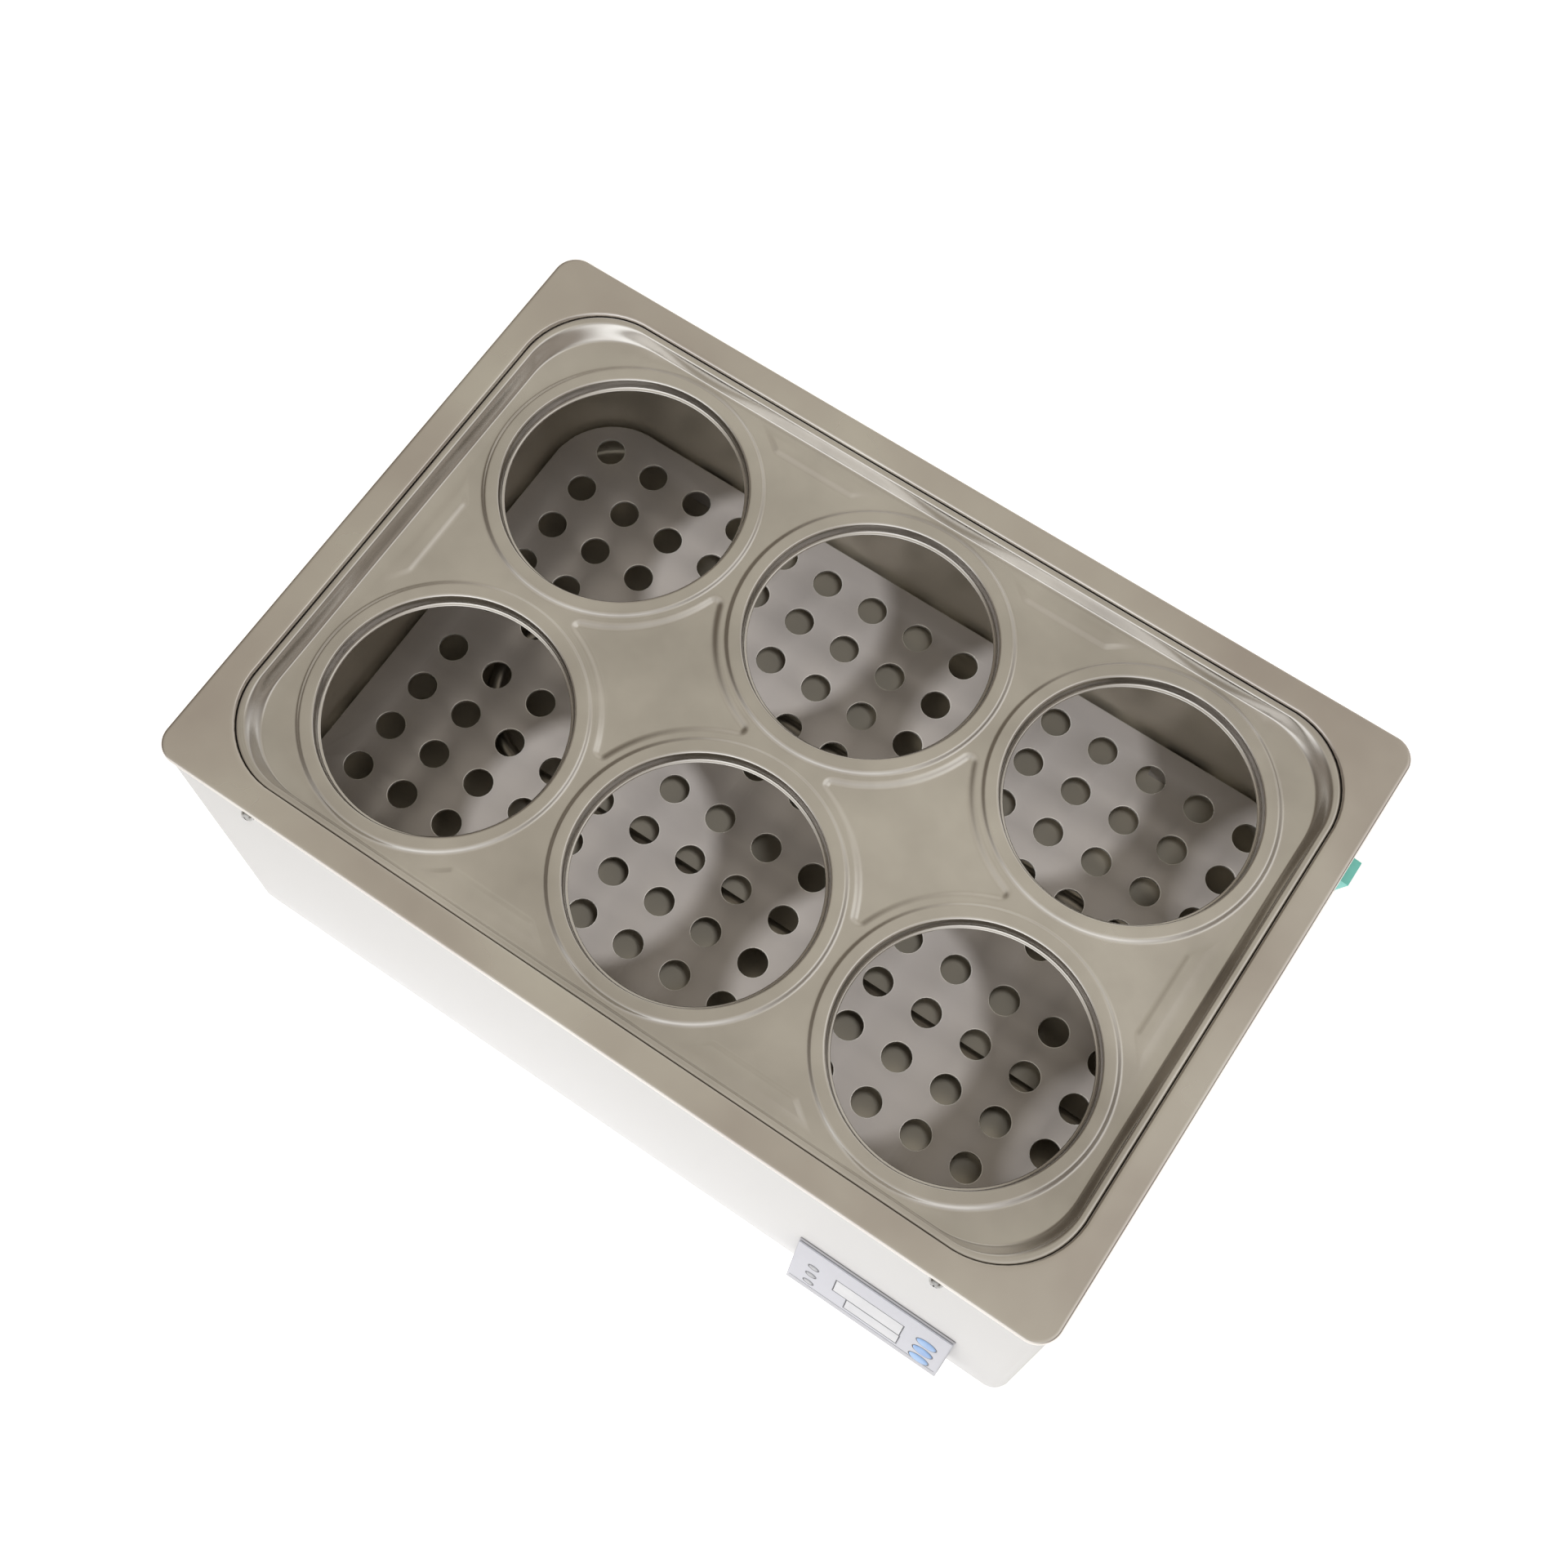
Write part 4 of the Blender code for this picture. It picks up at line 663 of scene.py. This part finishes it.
panel_z = DECK_TOP - LID_PANEL
bm = bmesh.new()
rings = [grown(LID, -inward * MM, depth * MM) for inward, depth in RIM_EDGE]
length, width, corner, height = rings[-1]
for step in range(1, RIM_STEPS + 1):
    share = step / RIM_STEPS
    fall = share**2 * (3 - 2 * share)
    rings.append(
        (
            length - 2 * share * RIM_END_RUN,
            width - 2 * share * RIM_SIDE_RUN,
            corner + share * (RIM_FOOT_CORNER - corner),
            height + fall * (panel_z - height),
        )
    )
rings[0] += (RIM_CORNER_STEPS,)
sheet_rings(bm, rings, closed=False)
collar = [(radius * MM, rise * MM) for radius, rise in COLLAR_SLOPE + COLLAR_BEND + COLLAR_HEM]
for side in (-1, 0, 1):
    for end in (-1, 1):
        middle = CENTRE + Vector((side * LID_PITCH, end * LID_PITCH / 2, panel_z))
        section = [(COLLAR_FOOT, 0), *collar]
        turned(bm, section, Matrix.Translation(middle), steps=COLLAR_SIDES, closed=False)
for side in (-1, 1):
    star = star_face(bm, CENTRE + Vector((side * LID_PITCH / 2, 0, panel_z)))
    if star.normal.z < 0:
        star.normal_flip()
    slope = STAR_TIP - STAR_TIP_FLAT
    press(bm, star, [(share * slope, -fall * STAR_DROP) for share, fall in STAR_SLOPE])
relief_places = []
for turn in (0, math.pi):
    for side in (-1, 1):
        edge = Matrix.Translation((side * LID_PITCH / 2, RELIEF_SIDE, 0))
        relief_places.append(Matrix.Rotation(turn, 4, "Z") @ edge)
for turn in (-math.pi / 2, math.pi / 2):
    relief_places.append(Matrix.Rotation(turn, 4, "Z") @ Matrix.Translation((0, RELIEF_END, 0)))
for place in relief_places:
    relief = relief_face(bm, Matrix.Translation(CENTRE + Vector((0, 0, panel_z))) @ place)
    if relief.normal.z < 0:
        relief.normal_flip()
    press(bm, relief, [(share * RELIEF_SLOPE, rise * RELIEF_RISE) for share, rise in RELIEF_CREASE])
open_edges = [e for e in bm.edges if e.is_boundary]
seams = [e for e in open_edges if all(abs(v.co.z - panel_z) < LID_SEAM for v in e.verts)]
bmesh.ops.triangle_fill(bm, use_beauty=True, edges=seams, normal=(0, 0, 1))
bmesh.ops.recalc_face_normals(bm, faces=bm.faces)
up = sum(f.normal.z * f.calc_area() for f in bm.faces)
if up < 0:
    bmesh.ops.reverse_faces(bm, faces=bm.faces)
lid_steel = surface(
    "lid_steel",
    dark=(0.57, 0.55, 0.525),
    light=(0.82, 0.80, 0.765),
    rough=(0.18, 0.28),
    metal=1,
    grain=(12, 12, 12),
    relief=0.4 * MM,
    fine=14,
)
thickened(add_piece("pressed_lid", bm, lid_steel, "lid_body", "stainless", "lid", sharp=70), LID_SHEET)

# Deck screws
# Four plated pan-head screws with cross recesses, two at the front and two at the back. They hold the
# deck's skirt to the housing.
SCREW_HEAD = 3.6 * MM
SCREW_HEIGHT = 2.9 * MM
SCREW_SHANK = 1.6 * MM
SCREW_LENGTH = 6.5 * MM
SCREW_FLAT = 2.2 * MM
SCREW_SEAT = 0.3 * MM
SCREW_SIDES = 28
# The dome of the head, in shares of its radius and of its height.
SCREW_DOME = ((0.78, 0.86), (0.94, 0.55), (1.0, 0.25))
CROSS_REACH = 1.9 * MM
CROSS_HALF = 0.45 * MM
CROSS_DEPTH = 1.3 * MM


def cut_cross(bm, height):
    """Closes the flat of a screw's head round a cross, and sinks the cross."""
    quarter = ((CROSS_REACH, -CROSS_HALF), (CROSS_REACH, CROSS_HALF), (CROSS_HALF, CROSS_HALF))
    corners = []
    for turn in range(4):
        spun = Matrix.Rotation(turn * math.pi / 2, 3, "Z")
        corners += [bm.verts.new(spun @ Vector((x, y, height))) for x, y in quarter]
    cross = [bm.edges.new(pair) for pair in zip(corners, corners[1:] + corners[:1])]
    flat = [e for e in bm.edges if e.is_boundary and abs(e.verts[0].co.z - height) < WELD]
    bmesh.ops.triangle_fill(bm, use_beauty=True, edges=flat + cross, normal=(0, 0, 1))
    sunk = bmesh.ops.extrude_edge_only(bm, edges=cross)["geom"]
    lower = set(verts_in(sunk))
    bmesh.ops.translate(bm, verts=list(lower), vec=(0, 0, -CROSS_DEPTH))
    bmesh.ops.edgeloop_fill(bm, edges=[e for e in edges_in(sunk) if lower.issuperset(e.verts)])


plated = surface(
    "bright_plating",
    dark=(0.34, 0.34, 0.335),
    light=(0.46, 0.46, 0.455),
    rough=(0.16, 0.26),
    metal=1,
    grain=(90, 90, 90),
)
for number in range(1, 5):
    low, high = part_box(f"deck_screw_{number}")
    middle = (low + high) / 2
    to_front = middle.y < CENTRE.y
    seat = CASE_LOW.y if to_front else CASE_HIGH.y
    turn = Matrix.Rotation(math.pi / 2 if to_front else -math.pi / 2, 4, "X")
    bm = bmesh.new()
    turned(
        bm,
        [
            (SCREW_FLAT, SCREW_HEIGHT),
            *[(across * SCREW_HEAD, up * SCREW_HEIGHT) for across, up in SCREW_DOME],
            (SCREW_HEAD, SCREW_SEAT),
            (SCREW_SHANK, SCREW_SEAT),
            (SCREW_SHANK, -SCREW_LENGTH),
            (0, -SCREW_LENGTH),
        ],
        Matrix.Identity(4),
        steps=SCREW_SIDES,
        closed=False,
    )
    cut_cross(bm, SCREW_HEIGHT)
    bmesh.ops.recalc_face_normals(bm, faces=bm.faces)
    bmesh.ops.transform(bm, matrix=Matrix.Translation((middle.x, seat, middle.z)) @ turn, verts=bm.verts)
    add_piece(f"pan_screw_{number}", bm, plated, "bath", "plated_steel", f"deck_screw_{number}")

# Cord gland
# A moulded black strain relief for the mains cord, pushed through the rear wall and locked by a nut
# inside.
low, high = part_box("cord_gland")
GLAND_FLANGE = (high.x - low.x) / 2
GLAND_SEAT = 0.3 * MM
GLAND_FLANGE_EDGE = 2.4 * MM
GLAND_FLANGE_TOP = 3.0 * MM
GLAND_FLANGE_ROUND = 0.6 * MM
GLAND_BORE = 4.0 * MM
GLAND_SHANK = 6.5 * MM
GLAND_SLEEVE = 7.2 * MM
GLAND_SLEEVE_FOOT = 3.2 * MM
GLAND_WAIST = 6.0 * MM
GLAND_WAIST_AT = 9.4 * MM
GLAND_MOUTH = 5.2 * MM
inner_end = low.y - CASE_HIGH.y
outer_end = high.y - CASE_HIGH.y
gland_axis = ((low.x + high.x) / 2, CASE_HIGH.y, (low.z + high.z) / 2)
bm = bmesh.new()
turned(
    bm,
    [
        (GLAND_BORE, inner_end),
        (GLAND_SHANK, inner_end),
        (GLAND_SHANK, GLAND_SEAT),
        (GLAND_FLANGE, GLAND_SEAT),
        (GLAND_FLANGE, GLAND_FLANGE_EDGE),
        (GLAND_FLANGE - GLAND_FLANGE_ROUND, GLAND_FLANGE_TOP),
        (GLAND_SLEEVE, GLAND_SLEEVE_FOOT),
        (GLAND_WAIST, GLAND_WAIST_AT),
        (GLAND_MOUTH, outer_end),
        (GLAND_BORE, outer_end),
    ],
    Matrix.Translation(gland_axis) @ Matrix.Rotation(-math.pi / 2, 4, "X"),
)
bmesh.ops.recalc_face_normals(bm, faces=bm.faces)
black_plastic = surface(
    "black_plastic",
    dark=(0.014, 0.014, 0.015),
    light=(0.028, 0.028, 0.03),
    rough=(0.36, 0.46),
    relief=0.04 * MM,
)
add_piece("strain_relief", bm, black_plastic, "bath", "black_plastic", "cord_gland")

# Control console
# A moulded wedge screwed to the front wall, its sloping face covered by a printed film round the two
# display windows, three lamps and three keys. The lamps and the keys are shallow moulded domes.
SLOPE_NORMAL = Vector((0, -0.97619, 0.21693))
SLOPE_UP = Vector((0, 0.21693, 0.97619))
OVAL_SIDES = 40
KEY_DOME = 0.6 * MM
LAMP_DOME = 0.3 * MM
# Steps of a dome from its edge to its crown, in shares of its half height and of its rise.
DOME_STEPS = ((0.06, 0.45), (0.10, 0.30), (0.2, 0.2), (0.3, 0.05))


def on_slope(node):
    """A place on the console's sloping face, at a node's middle and level with its outer side."""
    low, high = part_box(node)
    middle = (low + high) / 2
    across = (high.x - low.x) / 2
    span_y, span_z = high.y - low.y, high.z - low.z
    lean_y, lean_z = -SLOPE_NORMAL.y, SLOPE_NORMAL.z
    tall = (span_z * lean_y - span_y * lean_z) / (lean_y**2 - lean_z**2)
    thick = (span_y - tall * lean_z) / lean_y
    place = Matrix((Vector((1, 0, 0)), SLOPE_UP, SLOPE_NORMAL)).transposed().to_4x4()
    place.translation = middle + SLOPE_NORMAL * thick / 2
    return place, across, tall / 2, thick


def domed_oval(name, node, material, body, slot, rise):
    """A shallow oval button in place of a node, its crown level with the node's outer side."""
    place, across, tall, thick = on_slope(node)
    bm = bmesh.new()
    shape = Matrix.Diagonal((across, tall, 1, 1))
    verts = bmesh.ops.create_circle(bm, cap_ends=True, segments=OVAL_SIDES, radius=1, matrix=shape)["verts"]
    face = verts[0].link_faces[0]
    sides = bmesh.ops.extrude_face_region(bm, geom=[face])["geom"]
    bmesh.ops.translate(bm, verts=verts_in(sides), vec=(0, 0, thick - rise))
    crown = next(f for f in sides if isinstance(f, bmesh.types.BMFace))
    if crown.normal.z < 0:
        crown.normal_flip()
    press(bm, crown, [(inward * tall, up * rise) for inward, up in DOME_STEPS])
    bmesh.ops.translate(bm, verts=bm.verts, vec=(0, 0, -thick))
    bmesh.ops.transform(bm, matrix=place, verts=bm.verts)
    bmesh.ops.recalc_face_normals(bm, faces=bm.faces)
    return add_piece(name, bm, material, body, slot, node)


panel_plastic = surface(
    "panel_plastic",
    dark=(0.54, 0.545, 0.59),
    light=(0.58, 0.585, 0.63),
    rough=(0.40, 0.48),
    relief=0.03 * MM,
)
film = surface(
    "panel_film",
    dark=(0.55, 0.56, 0.625),
    light=(0.59, 0.60, 0.665),
    rough=(0.30, 0.38),
    grain=(50, 50, 50),
)
pane = surface(
    "window_pane",
    dark=(0.60, 0.61, 0.65),
    light=(0.68, 0.69, 0.72),
    rough=(0.10, 0.18),
    grain=(60, 60, 60),
)
lamp_lens = surface(
    "lamp_lens",
    dark=(0.36, 0.37, 0.40),
    light=(0.48, 0.49, 0.52),
    rough=(0.15, 0.25),
    grain=(90, 90, 90),
)
key_blue = surface(
    "key_blue",
    dark=(0.22, 0.38, 0.72),
    light=(0.36, 0.55, 0.86),
    rough=(0.34, 0.42),
    grain=(110, 110, 110),
)
for number in range(1, 4):
    domed_oval(f"blue_key_{number}", f"key_{number}", key_blue, f"key_{number}_body", "key_plastic", KEY_DOME)
    domed_oval(f"lamp_{number}", f"status_lamp_{number}", lamp_lens, "bath", "lamp_plastic", LAMP_DOME)

# Printed lines
# Thin grey lines printed on the console's film: a frame round each window, a ring round each lamp and
# key, and one long line along the film's lower edge.
PRINT_LINE = 0.45 * MM
PRINT_GAP = 0.25 * MM
PRINT_THICK = 0.06 * MM
STRIP_RISE = 0.9 * MM
STRIP_INSET = 1.0 * MM
WINDOW_SIDES = 4
LAMP_RING_SIDES = 32
KEY_RING_SIDES = 40
film_place, film_across, film_tall, _ = on_slope("control_overlay")


def print_ring(bm, node, sides):
    """A thin frame with this many sides on the film, just clear of a node's outline."""
    place, across, tall, _ = on_slope(node)
    place.translation += SLOPE_NORMAL * SLOPE_NORMAL.dot(film_place.translation - place.translation)
    reach = PRINT_GAP + PRINT_LINE
    corner = 1 / math.cos(math.pi / 4) if sides == WINDOW_SIDES else 1
    stretch = Matrix.Diagonal(((across + reach) * corner, (tall + reach) * corner, 1, 1))
    turn = Matrix.Rotation(math.pi / sides, 4, "Z")
    made = bmesh.ops.create_circle(
        bm, cap_ends=True, segments=sides, radius=1, matrix=place @ stretch @ turn
    )["verts"]
    inner = press(bm, made[0].link_faces[0], [(PRINT_LINE, 0)])
    bmesh.ops.delete(bm, geom=[inner], context="FACES_ONLY")


bm = bmesh.new()
for window in ("upper", "lower"):
    print_ring(bm, f"display_window_{window}", WINDOW_SIDES)
for number in range(1, 4):
    print_ring(bm, f"status_lamp_{number}", LAMP_RING_SIDES)
    print_ring(bm, f"key_{number}", KEY_RING_SIDES)
strip = film_place @ Matrix.Translation((0, STRIP_RISE - film_tall, 0))
strip = strip @ Matrix.Diagonal((film_across - STRIP_INSET, PRINT_LINE / 2, 1, 1))
bmesh.ops.create_grid(bm, x_segments=1, y_segments=1, size=1, matrix=strip)
bmesh.ops.recalc_face_normals(bm, faces=bm.faces)
for face in bm.faces:
    if face.normal.dot(SLOPE_NORMAL) < 0:
        face.normal_flip()
bmesh.ops.translate(bm, verts=bm.verts, vec=SLOPE_NORMAL * PRINT_THICK)
line_grey = surface(
    "line_grey",
    dark=(0.16, 0.165, 0.19),
    light=(0.22, 0.225, 0.25),
    rough=(0.45, 0.55),
    grain=(90, 90, 90),
)
thickened(add_piece("printed_lines", bm, line_grey, "bath", "panel_plastic"), PRINT_THICK)

# Parts left as the frame has them
# The insulation, the fittings and the electronics inside the case, the base plate, and the few flat
# moulded pieces outside keep their solid shape and only take a finish.
rocker_green = surface(
    "rocker_green",
    dark=(0.24, 0.86, 0.76),
    light=(0.30, 0.92, 0.83),
    rough=(0.18, 0.26),
    grain=(60, 60, 60),
)
brass = surface(
    "brass",
    dark=(0.58, 0.42, 0.17),
    light=(0.70, 0.53, 0.24),
    rough=(0.26, 0.36),
    metal=1,
    grain=(80, 80, 80),
)
silicone = surface(
    "red_silicone",
    dark=(0.40, 0.11, 0.07),
    light=(0.52, 0.16, 0.10),
    rough=(0.55, 0.68),
)
wool = surface(
    "mineral_wool",
    dark=(0.50, 0.44, 0.30),
    light=(0.70, 0.63, 0.46),
    rough=(0.88, 0.96),
    grain=(160, 160, 160),
    relief=0.8 * MM,
)
circuit_board = surface(
    "circuit_board",
    dark=(0.02, 0.16, 0.07),
    light=(0.03, 0.23, 0.10),
    rough=(0.35, 0.45),
    grain=(70, 70, 70),
)
white_plastic = surface(
    "white_plastic",
    dark=(0.66, 0.66, 0.63),
    light=(0.74, 0.74, 0.71),
    rough=(0.38, 0.46),
)
FINISHES = {
    "base_plate": plated,
    "foot_screw_": plated,
    "tank_insulation": wool,
    "heater_gasket_": silicone,
    "heater_nut_": brass,
    "heater_terminal_": plated,
    "temperature_probe": sheath,
    "probe_nut": brass,
    "console_shell": panel_plastic,
    "control_overlay": film,
    "display_window_": pane,
    "display_module_": black_plastic,
    "tact_switch_": black_plastic,
    "control_board": circuit_board,
    "switch_body": black_plastic,
    "rocker": rocker_green,
    "power_board": circuit_board,
    "relay": black_plastic,
    "transformer": plated,
    "terminal_block": white_plastic,
    "gland_nut": black_plastic,
}
for name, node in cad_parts.items():
    for start, material in FINISHES.items():
        if name.startswith(start):
            node.data.materials.clear()
            node.data.materials.append(material)

# Floor
# A plain pale sheet under the bath, wide enough to fill every view. It glows a little, so it stays white
# and the shadows on it stay faint.
FLOOR_REACH = 12
FLOOR_GLOW = 0.58
bm = bmesh.new()
bmesh.ops.create_grid(bm, x_segments=1, y_segments=1, size=FLOOR_REACH)
mesh = bpy.data.meshes.new("floor")
bm.to_mesh(mesh)
bm.free()
pale = surface(
    "pale_floor",
    dark=(0.90, 0.90, 0.90),
    light=(0.93, 0.93, 0.93),
    rough=(0.85, 0.95),
    grain=(1, 1, 1),
)
glow = pale.node_tree.nodes["Principled BSDF"].inputs
glow["Emission Color"].default_value = (1, 1, 1, 1)
glow["Emission Strength"].default_value = FLOOR_GLOW
mesh.materials.append(pale)
floor = bpy.data.objects.new("floor", mesh)
bpy.context.scene.collection.objects.link(floor)

# Light
# A white room, darker to the left and right and duller and warmer overhead, where the steel mirrors it,
# with one faint skylight. The camera itself sees a plain white backdrop. A small soft box high on the
# left lights the false bottom through the lid's holes.
WHITE_LIGHT = (1, 1, 1)
NO_LIGHT = (0, 0, 0)
WALLS = (1.20, 1.20, 1.20)
UPPER_WALLS = (0.62, 0.60, 0.57)
COVING = (0.60, 0.565, 0.50)
CEILING = (0.50, 0.467, 0.400)
PATCH_DARK = (0.90, 0.875, 0.85)
PATCH_LIGHT = (1.10, 1.10, 1.09)
CURTAIN = (0.28, 0.25, 0.22)
SKYLIGHT = (0.32, 0.325, 0.34)
ROOM_STOPS = ((0.10, WALLS), (0.45, UPPER_WALLS), (0.80, COVING), (0.97, CEILING))
PATCH_STOPS = ((0.36, PATCH_DARK), (0.64, PATCH_LIGHT))
CURTAIN_STOPS = ((0.48, WHITE_LIGHT), (0.78, CURTAIN))
SKYLIGHT_STOPS = ((0.935, NO_LIGHT), (0.975, SKYLIGHT))
PATCH_SCALE = 2.6
PATCH_DETAIL = 1.0
DULL_SIDE = Vector((-0.30, 0.45, 0.84)).normalized()
SKYLIGHT_SIDE = Vector((0.42, 0.30, 0.856)).normalized()
SOFT_BOX_FROM = Vector((-0.80, -0.16, 0.80))
SOFT_BOX_SIZE = 0.09
SOFT_BOX_SPREAD = math.radians(50)
SOFT_BOX_POWER = 0.95
world = bpy.data.worlds.new("studio")
world.use_nodes = True
bpy.context.scene.world = world
nodes = world.node_tree.nodes
links = world.node_tree.links
where = nodes.new("ShaderNodeTexCoord")


def facing(side):
    """How far a direction in the room turns to one side."""
    toward = nodes.new("ShaderNodeVectorMath")
    toward.operation = "DOT_PRODUCT"
    toward.inputs[1].default_value = side
    links.new(where.outputs["Generated"], toward.inputs[0])
    return toward.outputs["Value"]


def shaded(amount, stops):
    """The colour that a ramp of these stops gives to an amount."""
    ramp = colour_ramp(nodes, stops)
    links.new(amount, ramp.inputs["Fac"])
    return ramp.outputs["Color"]


def combined(blend, first, second):
    """Two layers of the room's light, multiplied or added."""
    layers = nodes.new("ShaderNodeMix")
    layers.data_type = "RGBA"
    layers.blend_type = blend
    layers.inputs["Factor"].default_value = 1.0
    links.new(first, layers.inputs["A"])
    links.new(second, layers.inputs["B"])
    return layers.outputs["Result"]


patches = nodes.new("ShaderNodeTexNoise")
patches.inputs["Scale"].default_value = PATCH_SCALE
patches.inputs["Detail"].default_value = PATCH_DETAIL
links.new(where.outputs["Generated"], patches.inputs["Vector"])
across = nodes.new("ShaderNodeSeparateXYZ")
links.new(where.outputs["Generated"], across.inputs["Vector"])
sideways = nodes.new("ShaderNodeMath")
sideways.operation = "ABSOLUTE"
links.new(across.outputs["X"], sideways.inputs[0])
room = shaded(facing(DULL_SIDE), ROOM_STOPS)
room = combined("MULTIPLY", room, shaded(patches.outputs["Fac"], PATCH_STOPS))
room = combined("MULTIPLY", room, shaded(sideways.outputs["Value"], CURTAIN_STOPS))
room = combined("ADD", room, shaded(facing(SKYLIGHT_SIDE), SKYLIGHT_STOPS))
backdrop = nodes.new("ShaderNodeMix")
backdrop.data_type = "RGBA"
backdrop.inputs["B"].default_value = (*WHITE_LIGHT, 1)
seen = nodes.new("ShaderNodeLightPath")
links.new(room, backdrop.inputs["A"])
links.new(seen.outputs["Is Camera Ray"], backdrop.inputs["Factor"])
links.new(backdrop.outputs["Result"], nodes["Background"].inputs["Color"])
lamp = bpy.data.lights.new("soft_box", "AREA")
lamp.shape = "DISK"
lamp.size = SOFT_BOX_SIZE
lamp.spread = SOFT_BOX_SPREAD
lamp.energy = SOFT_BOX_POWER
soft_box = bpy.data.objects.new("soft_box", lamp)
soft_box.location = Vector((CENTRE.x, CENTRE.y, DECK_TOP)) + SOFT_BOX_FROM
soft_box.rotation_euler = SOFT_BOX_FROM.to_track_quat("Z", "Y").to_euler()
soft_box.visible_glossy = False
bpy.context.scene.collection.objects.link(soft_box)

# Camera
# Above and to the front right of the bath, as the photograph was taken. Its place, turn and lens come
# from the corners of the deck and the lid, the holes and the console in the picture.
CAMERA_TURN = math.radians(34.14)
CAMERA_RISE = math.radians(69.0)
CAMERA_FROM = Vector((0.20977, -0.31044, 0.92979))
CAMERA_SENSOR = 36
CAMERA_LENS = 48.98
camera = bpy.data.objects.new("camera", bpy.data.cameras.new("camera"))
camera.data.sensor_width = CAMERA_SENSOR
camera.data.lens = CAMERA_LENS
camera.location = Vector((CENTRE.x, CENTRE.y, DECK_TOP)) + CAMERA_FROM
camera.rotation_euler = (math.pi / 2 - CAMERA_RISE, 0, CAMERA_TURN)
bpy.context.scene.collection.objects.link(camera)
bpy.context.scene.camera = camera
bpy.context.scene.view_settings.view_transform = "Standard"
